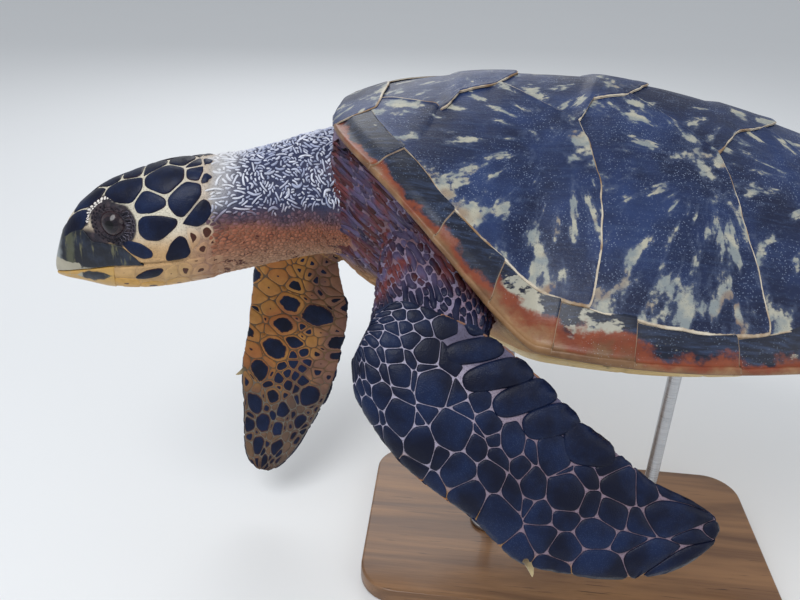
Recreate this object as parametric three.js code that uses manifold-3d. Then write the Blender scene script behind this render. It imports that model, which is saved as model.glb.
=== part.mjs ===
// A hawksbill sea turtle, life size, held in its swimming pose on a display stand.
//
// Millimetres, +Z up. The turtle faces -X, so its left side is towards -Y. The shell frame has its
// origin on the middle line, at the front edge of the shell and at the height of the shell's rim
// beside the bridge. Everything but the stand is made in the shell frame, then set over the stand.
import * as THREE from 'three';
import { mergeVertices } from 'three/addons/utils/BufferGeometryUtils.js';
import Module from 'manifold-3d';

const wasm = await Module();
wasm.setup();
const { clamp, lerp, smoothstep } = THREE.MathUtils;

// Driving dimensions
const SHELL_LENGTH = 700;
const SHELL_HALF_WIDTH = 264;
const FRONT_RISE = 128;
const RIM_OVER_FLOOR = 440;
const STAND_CENTRE = 310;
const GAP = 0.3;

// Shell
const SCUTE_THICKNESS = 4;
const SCUTE_LIFT = 2.5;
const LEAST_STEPS = 4;
const RIM_THICKNESS = 7;
const SERRATION = 9;
const FRONT_POWER = 0.5;
const REAR_POWER = 0.62;
const RISE_ENDS = 0.3;
const RISE_POWER = 1.4;
const DOME_ROUND = 1.4;
const DOME_FULL = 0.83;
// Underside of the margin: how far it reaches inside the inner seam, and its least reach in all.
const MARGIN_LAP = 6;
const MARGIN_REACH = 38;
// Height of the middle line over the rim, from the front edge (0) to the rear edge (1).
const KEEL = [[0, 132], [0.1, 158], [0.25, 174], [0.38, 175], [0.45, 170], [0.64, 141], [0.8, 100],
  [0.92, 55], [1, 14]];
// Breadth of the marginal scutes, seen from above.
const MARGIN_BREADTH = [[0, 37], [0.1, 37], [0.17, 30], [0.24, 31], [0.31, 28], [0.41, 23], [0.53, 18],
  [0.64, 24], [0.73, 32], [0.81, 42], [0.885, 50], [1, 53]];
// Where each marginal scute ends, along the shell: eleven a side, then the supracaudal pair.
const MARGIN_ENDS = [0.014, 0.078, 0.165, 0.236, 0.314, 0.409, 0.531, 0.64, 0.73, 0.812, 0.885, 0.948, 1];
// Corners of the scutes down the middle, as distance from the front edge and from the middle line.
const NUCHAL_REAR = [50, 0];
const NUCHAL_CORNER = [47, 40];
const VERTEBRALS = [
  { apex: [112, 70], notch: [124, 42], join: [162, 26], tip: [183, 0] },
  { apex: [238, 78], notch: [254, 43], join: [290, 30], tip: [313, 0] },
  { apex: [368, 90], notch: [396, 47], join: [424, 27], tip: [447, 0] },
  { apex: [490, 76], notch: [513, 41], join: [536, 24], tip: [556, 0] },
];
const LAST_APEX = [590, 68];
const LAST_CORNER_AT = 0.925;
// Seams between costal scutes: the bends between a vertebral apex and the margin, and their outer end.
const COSTAL_SEAMS = [
  { bends: [[247, 100], [257, 147], [257, 196]], endsAt: 0.35 },
  { bends: [[378, 127], [383, 164], [391, 202]], endsAt: 0.572 },
  { bends: [[503, 110], [513, 148]], endsAt: 0.75 },
];

// Trunk and plastron
const BELLY = [[0, -26], [0.025, -44], [0.06, -58], [0.12, -70], [0.2, -78], [0.8, -78], [0.89, -58],
  [0.95, -34]];
const TRUNK_BREADTH = [[0, 56], [0.025, 84], [0.06, 118], [0.1, 146], [0.15, 180], [0.21, 208], [0.3, 234],
  [0.45, 246], [0.6, 232], [0.75, 192], [0.85, 142], [0.92, 92], [0.95, 60]];
const UNDER_SCUTES = 8;
const FLAT_BELLY = 0.18;
const BELLY_SWEEP = 2.2;
const BELLY_UNDER_RIM = 14;
const TRUNK_LEAST_DEPTH = 6;
// The trunk's top drops away under the margin between these shares of the shell's half width.
const TUCK = 30;
const TUCK_FROM = 0.76;
const TUCK_TO = 0.94;
const PLASTRON_THICKNESS = 8;
const PLASTRON_SINK = 4;
const PLASTRON = [[0.12, 40], [0.16, 84], [0.25, 104], [0.33, 186], [0.45, 196], [0.58, 180], [0.67, 92],
  [0.78, 66], [0.86, 28]];

// Head and neck: breadth, top and bottom along the head, from the neck joint to the tip of the beak.
const HEAD_JOINT = [-126, -46, 0];
const HEAD_TURN = 13;
const HEAD_LENGTH = 171;
// The section's widest line, as a share of its height, and how square its sides and top are.
const HEAD_MIDDLE = 0.45;
const HEAD_SIDE_POWER = 0.88;
const HEAD_TOP_POWER = 0.92;
const HEAD_SIDES = 20;
const HEAD_PROFILE = [
  { at: 0, half: 57, top: 80, bottom: -53 },
  { at: 16, half: 58, top: 78, bottom: -56 },
  { at: 38, half: 57, top: 75, bottom: -60 },
  { at: 62, half: 52, top: 69, bottom: -64 },
  { at: 82, half: 45, top: 62, bottom: -66 },
  { at: 98, half: 40, top: 56, bottom: -66 },
  { at: 112, half: 35, top: 49, bottom: -65 },
  { at: 126, half: 30, top: 38, bottom: -62 },
  { at: 138, half: 25, top: 28, bottom: -59 },
  { at: 148, half: 20.5, top: 16, bottom: -57 },
  { at: 157, half: 16, top: 0, bottom: -55 },
  { at: 164, half: 11, top: -18, bottom: -53 },
  { at: 169, half: 6, top: -34, bottom: -51 },
];
// Cuts through the head, seen from the side: the mouth, from which the jaw's rear edge runs down to
// its corner, and the rear edges of the two beak sheaths.
const MOUTH = [[26, -13], [68, -21], [105, -28], [141, -38], [185, -50]];
const JAW_CORNER = [2, -90];
const UPPER_BEAK = [[185, 4], [153, 5], [131, 9], [122, -2], [92, -3], [70, -24]];
const LOWER_BEAK = [[102, -20], [112, -90]];
const CUT_DEPTH = 120;
const CUT_END = HEAD_LENGTH + 20;
const EYE_AT = [96, 25, 17.5];
const EYE_RADIUS = 17;
const EYE_SIDES = 12;
const NECK = [
  { centre: [70, 0, 34], half: 66, height: 72 },
  { centre: [30, -1, 36], half: 68, height: 76 },
  { centre: [-8, -6, 34], half: 64, height: 70 },
  { centre: [-45, -16, 27], half: 59, height: 65 },
  { centre: [-85, -30, 19], half: 56, height: 64 },
  { centre: [-142, -52, 12], half: 57, height: 66.5 },
];

// Limbs. A blade lies in its own plane: `along` from root to tip, `leading` towards its front edge.
const BLADE_LENGTH = 321;
const BLADE = [
  { at: -10, half: 22, thick: 15 },
  { at: 4, half: 43, thick: 28 },
  { at: 36, half: 56, thick: 33 },
  { at: 70, half: 64, thick: 30 },
  { at: 100, half: 66, thick: 26 },
  { at: 134, half: 64, thick: 22 },
  { at: 165, half: 64, thick: 19 },
  { at: 195, half: 61, thick: 16 },
  { at: 222, half: 54, thick: 14 },
  { at: 250, half: 46, thick: 12 },
  { at: 275, half: 39, thick: 10.5 },
  { at: 298, half: 30, thick: 9 },
  { at: 312, half: 20, thick: 8 },
  { at: 320, half: 8, thick: 6.5 },
];
const LEFT_BLADE = {
  root: [68, -285, -11], tip: [363, -335, -115], leading: [-0.36, -0.41, -0.84],
  bow: [[-6, -22], [40, -10], [70, -4], [100, 1], [134, 9], [193, 27], [240, 27], [292, 15], [321, 0]],
  dip: 14,
};
const RIGHT_BLADE = {
  root: [-52, 122, -82], tip: [-105, 20, -392], leading: [-1, 0, 0.12],
  bow: [[-6, 12], [40, 9], [90, -3], [150, -6], [230, -6], [321, 0]],
  dip: -12,
};
const LEFT_ARM = [
  { centre: [118, -96, 22], half: 56, height: 52 },
  { centre: [121, -150, 16], half: 56, height: 46 },
  { centre: [121, -205, 6], half: 54, height: 36 },
  { centre: [116, -250, -6], half: 50, height: 28 },
  { centre: [110, -282, -16], half: 38, height: 19 },
  { centre: [107, -298, -21], half: 18, height: 9 },
];
const RIGHT_ARM = [
  { centre: [112, 96, 20], half: 56, height: 52 },
  { centre: [78, 132, 6], half: 56, height: 46 },
  { centre: [34, 146, -18], half: 54, height: 36 },
  { centre: [-12, 140, -50], half: 50, height: 28 },
  { centre: [-42, 128, -84], half: 42, height: 20 },
  { centre: [-54, 118, -108], half: 22, height: 10 },
];
const NECK_SIDES = 18;
const ARM_SIDES = 14;
// Lens section of a blade: roundness of its edges, and how far its thickest line leans forwards.
const LENS_POWER = 0.6;
const LENS_LEAN = 0.45;
const LENS_PEAK = 1.16;
const LENS_EDGE = 2;
const PADDLE_LENGTH = 214;
const PADDLE = [
  { at: -30, half: 34, thick: 40 },
  { at: 10, half: 38, thick: 36 },
  { at: 50, half: 40, thick: 28 },
  { at: 90, half: 47, thick: 20 },
  { at: 130, half: 52, thick: 14 },
  { at: 165, half: 47, thick: 11 },
  { at: 192, half: 34, thick: 9 },
  { at: 207, half: 20, thick: 7.5 },
  { at: 213, half: 8, thick: 6.5 },
];
const LEFT_PADDLE = {
  root: [578, -118, -30], tip: [762, -222, -62], leading: [-0.45, -0.87, -0.1],
  bow: [[-30, 0], [100, 3], [213, -12]],
  dip: 6,
};
const RIGHT_PADDLE = {
  root: [578, 118, -30], tip: [772, 196, -84], leading: [-0.37, 0.9, -0.1],
  bow: [[-30, 0], [100, 3], [213, -12]],
  dip: 6,
};
const TAIL = [
  { centre: [606, 0, -30], half: 34, height: 22 },
  { centre: [640, 0, -32], half: 24, height: 17 },
  { centre: [675, 0, -31], half: 15, height: 12 },
  { centre: [703, 0, -28], half: 8, height: 7 },
  { centre: [718, 0, -26], half: 3, height: 3 },
];
const TAIL_SIDES = 10;
// Claws: the place of each along its blade, and the lean of its point from the blade's run.
const CLAW_LENGTH = 17;
const CLAW_RADIUS = 4.5;
const CLAW_SIDES = 8;
const CLAW_LEAN = 41;
const CLAW_ROOT = 4;
const FORE_CLAW_AT = 186;
const HIND_CLAW_AT = 140;

// Stand
const BASE_LENGTH = 520;
const BASE_WIDTH = 280;
const BASE_HEIGHT = 22;
const BASE_CORNER = 46;
const BASE_EDGE = 3;
const ROD_RADIUS = 8;
const ROD_SPACING = 200;
const COLLAR_RADIUS = 24;
const COLLAR_HEIGHT = 6;
const PAD_RADIUS = 26;
const PAD_HEIGHT = 5;
const ROD_SIDES = 16;

const FINISHES = {
  scute: { color: 0x1c2030, roughness: 0.45 },
  plastron: { color: 0xd9b36a, roughness: 0.5 },
  skin: { color: 0x8a7263, roughness: 0.8 },
  scales: { color: 0x23232e, roughness: 0.6 },
  beak: { color: 0x3a3020, roughness: 0.35 },
  eye: { color: 0x0c0a0c, roughness: 0.08 },
  claw: { color: 0x8a7340, roughness: 0.4 },
  wood: { color: 0x4a3524, roughness: 0.5 },
  steel: { color: 0x9aa0a6, roughness: 0.35, metalness: 1 },
};

const vec = ([x, y, z]) => new THREE.Vector3(x, y, z);

// Value at x of a smooth curve through [x, value] pairs that doesn't overshoot them.
function along(pairs, x) {
  const last = pairs.length - 1;
  if (x <= pairs[0][0]) return pairs[0][1];
  if (x >= pairs[last][0]) return pairs[last][1];
  const i = pairs.findIndex(([at]) => at > x) - 1;
  const rise = (k) => (pairs[k + 1][1] - pairs[k][1]) / (pairs[k + 1][0] - pairs[k][0]);
  const slope = (k) => {
    if (k === 0) return rise(0);
    if (k === last) return rise(last - 1);
    const product = rise(k - 1) * rise(k);
    return product > 0 ? (2 * product) / (rise(k - 1) + rise(k)) : 0;
  };
  const width = pairs[i + 1][0] - pairs[i][0];
  const t = (x - pairs[i][0]) / width;
  const a = pairs[i][1];
  const b = pairs[i + 1][1];
  const leave = slope(i) * width - (b - a);
  const arrive = slope(i + 1) * width - (b - a);
  const bend = t * (1 - t) * ((1 - t) * leave - t * arrive);
  return lerp(a, b, t) + bend;
}

const field = (stations, name) => stations.map((s) => [s.at, s[name]]);

// ---- Shell surface -------------------------------------------------------------------------

const widest = FRONT_POWER / (FRONT_POWER + REAR_POWER);
const fullness = (t) => Math.max(t, 0) ** FRONT_POWER * Math.max(1 - t, 0) ** REAR_POWER;
const rimHalf = (t) => (SHELL_HALF_WIDTH * fullness(t)) / fullness(widest);
const rimHeight = (t) => FRONT_RISE * Math.max(0, 1 - (t / RISE_ENDS) ** 2) ** RISE_POWER;

// Height of the shell over a point of its plan: a roof from the rim to the keel.
function dome(x, y) {
  const t = clamp(x / SHELL_LENGTH, 0, 1);
  const across = clamp(Math.abs(y) / Math.max(rimHalf(t), 1), 0, 1);
  return lerp(rimHeight(t), along(KEEL, t), (1 - across ** DOME_ROUND) ** DOME_FULL);
}

// Point of the rim in plan, `inward` from its edge, on the side given by its sign.
function rimPoint(t, inward, side) {
  const turn = Math.acos(1 - 2 * t) / Math.PI;
  const at = (u) => {
    const s = (1 - Math.cos(Math.PI * u)) / 2;
    return new THREE.Vector2(s * SHELL_LENGTH, rimHalf(s));
  };
  const step = 0.004;
  const tangent = at(Math.min(turn + step, 1)).sub(at(Math.min(turn, 1 - step) - step)).normalize();
  if (t === 1) tangent.set(0, -1);
  const point = at(turn).add(new THREE.Vector2(tangent.y, -tangent.x).multiplyScalar(inward));
  return [point.x, side * point.y];
}

const marginStations = [];
MARGIN_ENDS.slice(1).forEach((end, i) => {
  marginStations.push(MARGIN_ENDS[i], lerp(MARGIN_ENDS[i], end, 0.5));
});
marginStations.push(1);
const innerSeam = (t, side) => rimPoint(t, along(MARGIN_BREADTH, t), side);

// Point at t on the polyline that the inner edges of the marginal scutes make.
function onInnerSeam(t, side) {
  const i = Math.min(marginStations.findIndex((s) => s >= t), marginStations.length - 1);
  if (marginStations[i] === t) return innerSeam(t, side);
  const [a, b] = [marginStations[i - 1], marginStations[i]];
  const [from, to] = [innerSeam(a, side), innerSeam(b, side)];
  const share = (t - a) / (b - a);
  return [lerp(from[0], to[0], share), lerp(from[1], to[1], share)];
}

function innerSeamBetween(from, to, side) {
  const inside = marginStations.filter((t) => t > from && t < to).map((t) => innerSeam(t, side));
  return [onInnerSeam(from, side), ...inside, onInnerSeam(to, side)];
}

// ---- Solids --------------------------------------------------------------------------------

function geometryOf(positions, index) {
  const geometry = new THREE.BufferGeometry();
  geometry.setAttribute('position', new THREE.Float32BufferAttribute(positions, 3));
  geometry.setIndex(index);
  return geometry;
}

function signedVolume(positions, index) {
  const [a, b, c] = [new THREE.Vector3(), new THREE.Vector3(), new THREE.Vector3()];
  let volume = 0;
  for (let i = 0; i < index.length; i += 3) {
    a.fromArray(positions, 3 * index[i]);
    b.fromArray(positions, 3 * index[i + 1]);
    c.fromArray(positions, 3 * index[i + 2]);
    volume += a.dot(b.cross(c)) / 6;
  }
  return volume;
}

function outward(positions, index) {
  if (signedVolume(positions, index) > 0) return geometryOf(positions, index);
  const flipped = [];
  for (let i = 0; i < index.length; i += 3) flipped.push(index[i], index[i + 2], index[i + 1]);
  return geometryOf(positions, flipped);
}

// A closed solid over a row of rings, with a point in the middle of each end.
function loft(rings) {
  const count = rings[0].length;
  const positions = rings.flat().flatMap((p) => [p.x, p.y, p.z]);
  const index = [];
  for (let i = 0; i < rings.length - 1; i += 1) {
    for (let j = 0; j < count; j += 1) {
      const a = i * count + j;
      const b = i * count + ((j + 1) % count);
      index.push(a, b, b + count, a, b + count, a + count);
    }
  }
  [rings[0], rings[rings.length - 1]].forEach((ring, end) => {
    const middle = ring.reduce((sum, p) => sum.add(p), new THREE.Vector3()).divideScalar(count);
    const hub = positions.length / 3;
    const start = end === 0 ? 0 : (rings.length - 1) * count;
    positions.push(middle.x, middle.y, middle.z);
    for (let j = 0; j < count; j += 1) {
      const [a, b] = [start + j, start + ((j + 1) % count)];
      if (end === 0) index.push(hub, b, a);
      else index.push(hub, a, b);
    }
  });
  return outward(positions, index);
}

// One closed surface, without the doubled points and flat faces that some three.js shapes have.
function toManifold(geometry) {
  const bare = new THREE.BufferGeometry().setAttribute('position', geometry.getAttribute('position'));
  bare.setIndex(geometry.getIndex());
  const merged = mergeVertices(bare, 1e-4);
  const corners = merged.getIndex().array;
  const faces = [];
  for (let i = 0; i < corners.length; i += 3) {
    const [a, b, c] = corners.slice(i, i + 3);
    if (a !== b && b !== c && c !== a) faces.push(a, b, c);
  }
  return new wasm.Manifold(new wasm.Mesh({
    numProp: 3,
    vertProperties: new Float32Array(merged.getAttribute('position').array),
    triVerts: new Uint32Array(faces),
  }));
}

function fromManifold(manifold) {
  const mesh = manifold.getMesh();
  return geometryOf(Array.from(mesh.vertProperties), Array.from(mesh.triVerts));
}

// What is left of a solid after others are cut from it; loose chips are dropped.
function cut(geometry, ...tools) {
  let solid = toManifold(geometry);
  tools.forEach((tool) => { solid = solid.subtract(toManifold(tool)); });
  const pieces = solid.decompose().sort((a, b) => b.volume() - a.volume());
  return fromManifold(pieces[0]);
}

function common(geometry, tool) {
  return fromManifold(toManifold(geometry).intersect(toManifold(tool)));
}

// ---- Scutes --------------------------------------------------------------------------------

// A border with its bends kept and its longest runs halved until it has `count` steps.
function divided(points, count) {
  const border = points.map((p) => [...p]);
  while (border.length <= count) {
    let longest = 0;
    let at = 1;
    for (let i = 1; i < border.length; i += 1) {
      const run = Math.hypot(border[i][0] - border[i - 1][0], border[i][1] - border[i - 1][1]);
      if (run > longest + 1e-6) [longest, at] = [run, i];
    }
    const [from, to] = [border[at - 1], border[at]];
    border.splice(at, 0, [lerp(from[0], to[0], 0.5), lerp(from[1], to[1], 0.5)]);
  }
  return border;
}

// A closed outline moved inwards by `inset`, corner by corner.
function shrunk(outline, inset) {
  const count = outline.length;
  const turned = outline.reduce((sum, [x, y], i) => {
    const [nx, ny] = outline[(i + 1) % count];
    return sum + x * ny - nx * y;
  }, 0);
  const sign = Math.sign(turned);
  return outline.map((corner, i) => {
    const before = outline[(i + count - 1) % count];
    const after = outline[(i + 1) % count];
    const a = new THREE.Vector2(corner[0] - before[0], corner[1] - before[1]).normalize();
    const b = new THREE.Vector2(after[0] - corner[0], after[1] - corner[1]).normalize();
    const inwardA = new THREE.Vector2(-a.y, a.x).multiplyScalar(sign);
    const inwardB = new THREE.Vector2(-b.y, b.x).multiplyScalar(sign);
    const middle = inwardA.clone().add(inwardB).normalize();
    const reach = inset / Math.max(middle.dot(inwardA), 0.3);
    return [corner[0] + middle.x * reach, corner[1] + middle.y * reach];
  });
}

// A plate on the dome between four borders. Front and rear run from the inner border to the outer.
function scute({ inner, outer, front, rear }) {
  const rows = Math.max(LEAST_STEPS, inner.length - 1, outer.length - 1);
  const columns = Math.max(LEAST_STEPS, front.length - 1, rear.length - 1);
  const borders = {
    inner: divided(inner, rows),
    rear: divided(rear, columns),
    outer: divided(outer, rows),
    front: divided(front, columns),
  };
  const loop = [
    ...borders.inner.slice(0, -1),
    ...borders.rear.slice(0, -1),
    ...[...borders.outer].reverse().slice(0, -1),
    ...[...borders.front].reverse().slice(0, -1),
  ];
  const inset = shrunk(loop, GAP / 2);
  const at = (k) => inset[k % inset.length];
  const innerAt = (i) => at(i);
  const rearAt = (j) => at(rows + j);
  const outerAt = (i) => at(rows + columns + (rows - i));
  const frontAt = (j) => at(2 * rows + columns + (columns - j));
  const positions = [];
  const layers = [
    (x, y, u) => dome(x, y) + SCUTE_LIFT * u,
    (x, y) => dome(x, y) - SCUTE_THICKNESS,
  ];
  layers.forEach((height) => {
    for (let i = 0; i <= rows; i += 1) {
      for (let j = 0; j <= columns; j += 1) {
        const [u, v] = [i / rows, j / columns];
        const [x, y] = [0, 1].map((k) => {
          const lengthwise = lerp(innerAt(i)[k], outerAt(i)[k], v);
          const crosswise = lerp(frontAt(j)[k], rearAt(j)[k], u);
          const frontLine = lerp(innerAt(0)[k], outerAt(0)[k], v);
          const rearLine = lerp(innerAt(rows)[k], outerAt(rows)[k], v);
          return lengthwise + crosswise - lerp(frontLine, rearLine, u);
        });
        positions.push(x, y, height(x, y, u));
      }
    }
  });
  const node = (layer, i, j) => layer * (rows + 1) * (columns + 1) + i * (columns + 1) + j;
  const index = [];
  const quad = (a, b, c, d) => index.push(a, b, c, a, c, d);
  for (let i = 0; i < rows; i += 1) {
    for (let j = 0; j < columns; j += 1) {
      quad(node(0, i, j), node(0, i + 1, j), node(0, i + 1, j + 1), node(0, i, j + 1));
      quad(node(1, i, j), node(1, i, j + 1), node(1, i + 1, j + 1), node(1, i + 1, j));
    }
    quad(node(0, i, 0), node(1, i, 0), node(1, i + 1, 0), node(0, i + 1, 0));
    quad(node(0, i, columns), node(0, i + 1, columns), node(1, i + 1, columns), node(1, i, columns));
  }
  for (let j = 0; j < columns; j += 1) {
    quad(node(0, 0, j), node(0, 0, j + 1), node(1, 0, j + 1), node(1, 0, j));
    quad(node(0, rows, j), node(1, rows, j), node(1, rows, j + 1), node(0, rows, j + 1));
  }
  return outward(positions, index);
}

const sided = (side) => ([x, y]) => [x, side * y];

function vertebral(i) {
  const corners = [-1, 1].map((side) => {
    const before = VERTEBRALS[i - 1];
    const own = VERTEBRALS[i];
    const start = before ? before.join : NUCHAL_CORNER;
    if (own) return [start, own.apex, own.notch, own.join].map(sided(side));
    return [...[start, LAST_APEX].map(sided(side)), onInnerSeam(LAST_CORNER_AT, side)];
  });
  const frontTip = VERTEBRALS[i - 1] ? VERTEBRALS[i - 1].tip : NUCHAL_REAR;
  const own = VERTEBRALS[i];
  const rear = own
    ? [own.join.map((v, k) => (k ? -v : v)), own.tip, own.join]
    : [
      ...innerSeamBetween(LAST_CORNER_AT, 1, -1),
      ...innerSeamBetween(LAST_CORNER_AT, 1, 1).reverse().slice(1),
    ];
  const front = [corners[0][0], frontTip, corners[1][0]];
  return scute({ inner: corners[0], outer: corners[1], front, rear });
}

function costal(i, side) {
  const place = sided(side);
  const seam = (k) => {
    const { bends, endsAt } = COSTAL_SEAMS[k];
    return [...[VERTEBRALS[k + 1].apex, ...bends].map(place), onInnerSeam(endsAt, side)];
  };
  const start = i === 0 ? MARGIN_ENDS[0] : COSTAL_SEAMS[i - 1].endsAt;
  const end = i === 3 ? LAST_CORNER_AT : COSTAL_SEAMS[i].endsAt;
  const first = VERTEBRALS[i];
  const inner = i === 0
    ? [NUCHAL_CORNER, first.apex, first.notch, first.join, VERTEBRALS[1].apex]
    : [first.apex, first.notch, first.join, i === 3 ? LAST_APEX : VERTEBRALS[i + 1].apex];
  const front = i === 0 ? [place(NUCHAL_CORNER), onInnerSeam(start, side)] : seam(i - 1);
  const rear = i === 3 ? [place(LAST_APEX), onInnerSeam(end, side)] : seam(i);
  return scute({ inner: inner.map(place), outer: innerSeamBetween(start, end, side), front, rear });
}

function nuchal() {
  const corner = (side) => innerSeam(MARGIN_ENDS[0], side);
  const edge = (side) => rimPoint(MARGIN_ENDS[0], 0, side);
  return scute({
    inner: [edge(-1), corner(-1)],
    outer: [edge(1), corner(1)],
    front: [edge(-1), [4, -32], [7, 0], [4, 32], edge(1)],
    rear: [corner(-1), NUCHAL_CORNER.map((v, k) => (k ? -v : v)), NUCHAL_REAR, NUCHAL_CORNER, corner(1)],
  });
}

// Section of the shell's margin at t: from the inner seam over the edge and back underneath.
function marginSection(t, side, jut, grow) {
  const breadth = along(MARGIN_BREADTH, t);
  const under = Math.max(breadth + MARGIN_LAP, MARGIN_REACH);
  const rim = rimHeight(t);
  const over = (inward, extra) => {
    const [x, y] = rimPoint(t, inward, side);
    return new THREE.Vector3(x, y, dome(x, y) + extra);
  };
  const at = (inward, z) => {
    const [x, y] = rimPoint(t, inward, side);
    return new THREE.Vector3(x, y, z);
  };
  const seamGap = GAP / 2;
  return [
    over(breadth - seamGap + grow * 2, grow),
    over(breadth * 0.66, 0.5 + grow),
    over(breadth * 0.33, 1 + grow),
    at(-jut - grow, rim + 2 + grow),
    at(-jut * 0.8 - grow, rim - RIM_THICKNESS * 0.5 - grow),
    at(breadth * 0.5, rim - RIM_THICKNESS - grow),
    at(under + grow, rim - RIM_THICKNESS - 3 - grow),
    at(under + grow, rim - 3 + grow),
    over(breadth - seamGap + grow * 2, -SCUTE_THICKNESS - 1 - grow),
  ];
}

const serrated = (t) => SERRATION * smoothstep(t, 0.55, 0.8);

function marginal(i, side) {
  const [start, end] = [MARGIN_ENDS[i], MARGIN_ENDS[i + 1]];
  const middleOf = (t) => new THREE.Vector2(...rimPoint(t, along(MARGIN_BREADTH, t) / 2, side));
  const length = middleOf(start).distanceTo(middleOf(end));
  const slack = (GAP / 2 / length) * (end - start);
  const middle = lerp(start, end, 0.5);
  const last = end === 1;
  const rings = [
    marginSection(start + slack, side, serrated(start) * 0.1, 0),
    marginSection(middle, side, serrated(middle) * 0.45, 0),
    marginSection(last ? 1 : end - slack, side, serrated(end) * (last ? 0.2 : 1), 0),
  ];
  if (last) rings[2].forEach((p) => { p.y = side * Math.max(side * p.y, GAP / 2); });
  return loft(rings);
}

// The whole margin a little oversize, for cutting its seat in the flesh.
function marginSeat(side) {
  const stations = [0.004, ...marginStations.slice(0, -1), 0.985, 1];
  const rings = stations.map((t) => marginSection(t, side, serrated(t), 1.1));
  rings[rings.length - 1].forEach((p) => { p.y = side * -2; });
  return loft(rings);
}

// ---- Flesh ---------------------------------------------------------------------------------

// Height of the underside of the trunk: flat along the middle, then rising to the shell's margin.
function belly(x, y) {
  const t = x / SHELL_LENGTH;
  const share = clamp((Math.abs(y) / along(TRUNK_BREADTH, t) - FLAT_BELLY) / (1 - FLAT_BELLY), 0, 1);
  return lerp(along(BELLY, t), rimHeight(t) - BELLY_UNDER_RIM, share ** BELLY_SWEEP);
}

function trunkTop(x, y) {
  const t = clamp(x / SHELL_LENGTH, 0.01, 1);
  const across = Math.abs(y) / rimHalf(t);
  return dome(x, y) - UNDER_SCUTES - TUCK * smoothstep(across, TUCK_FROM, TUCK_TO);
}

function trunk(grow) {
  const steps = [0, 0.025, 0.06, 0.1, 0.15, 0.21, 0.3, 0.4, 0.52, 0.64, 0.75, 0.84, 0.9, 0.95];
  const shares = [-1, -0.86, -0.65, -0.35, 0, 0.35, 0.65, 0.86, 1];
  const rings = steps.map((t) => {
    const x = Math.max(t * SHELL_LENGTH, 3);
    const half = along(TRUNK_BREADTH, t);
    const out = (s, z) => new THREE.Vector3(x, s * (half + grow), z);
    const roof = (y) => Math.max(trunkTop(x, y), belly(x, y) + TRUNK_LEAST_DEPTH);
    const top = shares.map((s) => out(s, roof(s * half) + grow));
    const bottom = [...shares].reverse().map((s) => out(s, belly(x, s * half) - grow));
    return [...top, ...bottom];
  });
  rings[0].forEach((p) => { p.x -= grow; });
  rings[rings.length - 1].forEach((p) => { p.x += grow; });
  return loft(rings);
}

// The plate under the belly: narrow lobes before and behind, broad between at the bridges.
function plastron(grow) {
  const steps = [0.12, 0.16, 0.21, 0.26, 0.33, 0.45, 0.58, 0.66, 0.73, 0.8, 0.86];
  const shares = [-1, -0.6, -0.22, 0.22, 0.6, 1];
  return loft(steps.map((t) => {
    const x = t * SHELL_LENGTH;
    const half = along(PLASTRON, t);
    const out = (s, z) => new THREE.Vector3(x, s * (half + grow), belly(x, s * half) + z);
    const top = shares.map((s) => out(s, PLASTRON_SINK + grow));
    const bottom = [...shares].reverse().map((s) => out(s, -PLASTRON_THICKNESS - grow));
    return [...top, ...bottom];
  }));
}

// Oval rings square to the run of their centres, with `flat` giving the direction of their breadth.
function tube(stations, flat, sides, grow) {
  const centres = stations.map((s) => vec(s.centre));
  return loft(stations.map((s, i) => {
    const next = centres[Math.min(i + 1, centres.length - 1)];
    const run = next.clone().sub(centres[Math.max(i - 1, 0)]).normalize();
    const breadth = flat.clone().addScaledVector(run, -flat.dot(run)).normalize();
    const height = run.clone().cross(breadth).normalize();
    return Array.from({ length: sides }, (_, k) => {
      const angle = (2 * Math.PI * k) / sides;
      return centres[i].clone()
        .addScaledVector(breadth, (s.half + grow) * Math.cos(angle))
        .addScaledVector(height, (s.height + grow) * Math.sin(angle));
    });
  }));
}

// A flipper blade or paddle: lens sections, thickest a third of the way from the leading edge.
function blade(shape, stations, length, grow) {
  const root = vec(shape.root);
  const forward = vec(shape.tip).sub(root).normalize();
  const leading = vec(shape.leading);
  leading.addScaledVector(forward, -leading.dot(forward)).normalize();
  const upper = forward.clone().cross(leading).normalize();
  const shares = [1, 0.9, 0.62, 0.2, -0.3, -0.75, -1];
  const full = (s) => ((1 - s * s) ** LENS_POWER * (1 + LENS_LEAN * s)) / LENS_PEAK;
  const point = (station, share, lift) => root.clone()
    .addScaledVector(forward, station.at)
    .addScaledVector(leading, along(shape.bow, station.at) + share * (station.half + grow))
    .addScaledVector(upper, lift + shape.dip * (station.at / length) ** 2);
  return loft(stations.map((station) => {
    const edge = LENS_EDGE + grow;
    const lift = (s) => Math.max((station.thick / 2) * full(s), edge) + grow;
    const above = shares.map((s) => point(station, s, lift(s)));
    const below = [...shares].reverse().map((s) => point(station, s, -lift(s)));
    return [...above, ...below];
  }));
}

function headSection(at, grow) {
  const profile = (name) => along(field(HEAD_PROFILE, name), at);
  const [top, bottom] = [profile('top') + grow, profile('bottom') - grow];
  const half = profile('half') + grow;
  const middle = lerp(bottom, top, HEAD_MIDDLE);
  return Array.from({ length: HEAD_SIDES }, (_, k) => {
    const angle = (2 * Math.PI * k) / HEAD_SIDES;
    const [c, s] = [Math.cos(angle), Math.sin(angle)];
    const across = Math.sign(c) * Math.abs(c) ** HEAD_SIDE_POWER * half;
    const reach = s > 0 ? top - middle : middle - bottom;
    return new THREE.Vector3(at, across, middle + Math.sign(s) * Math.abs(s) ** HEAD_TOP_POWER * reach);
  });
}

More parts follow.
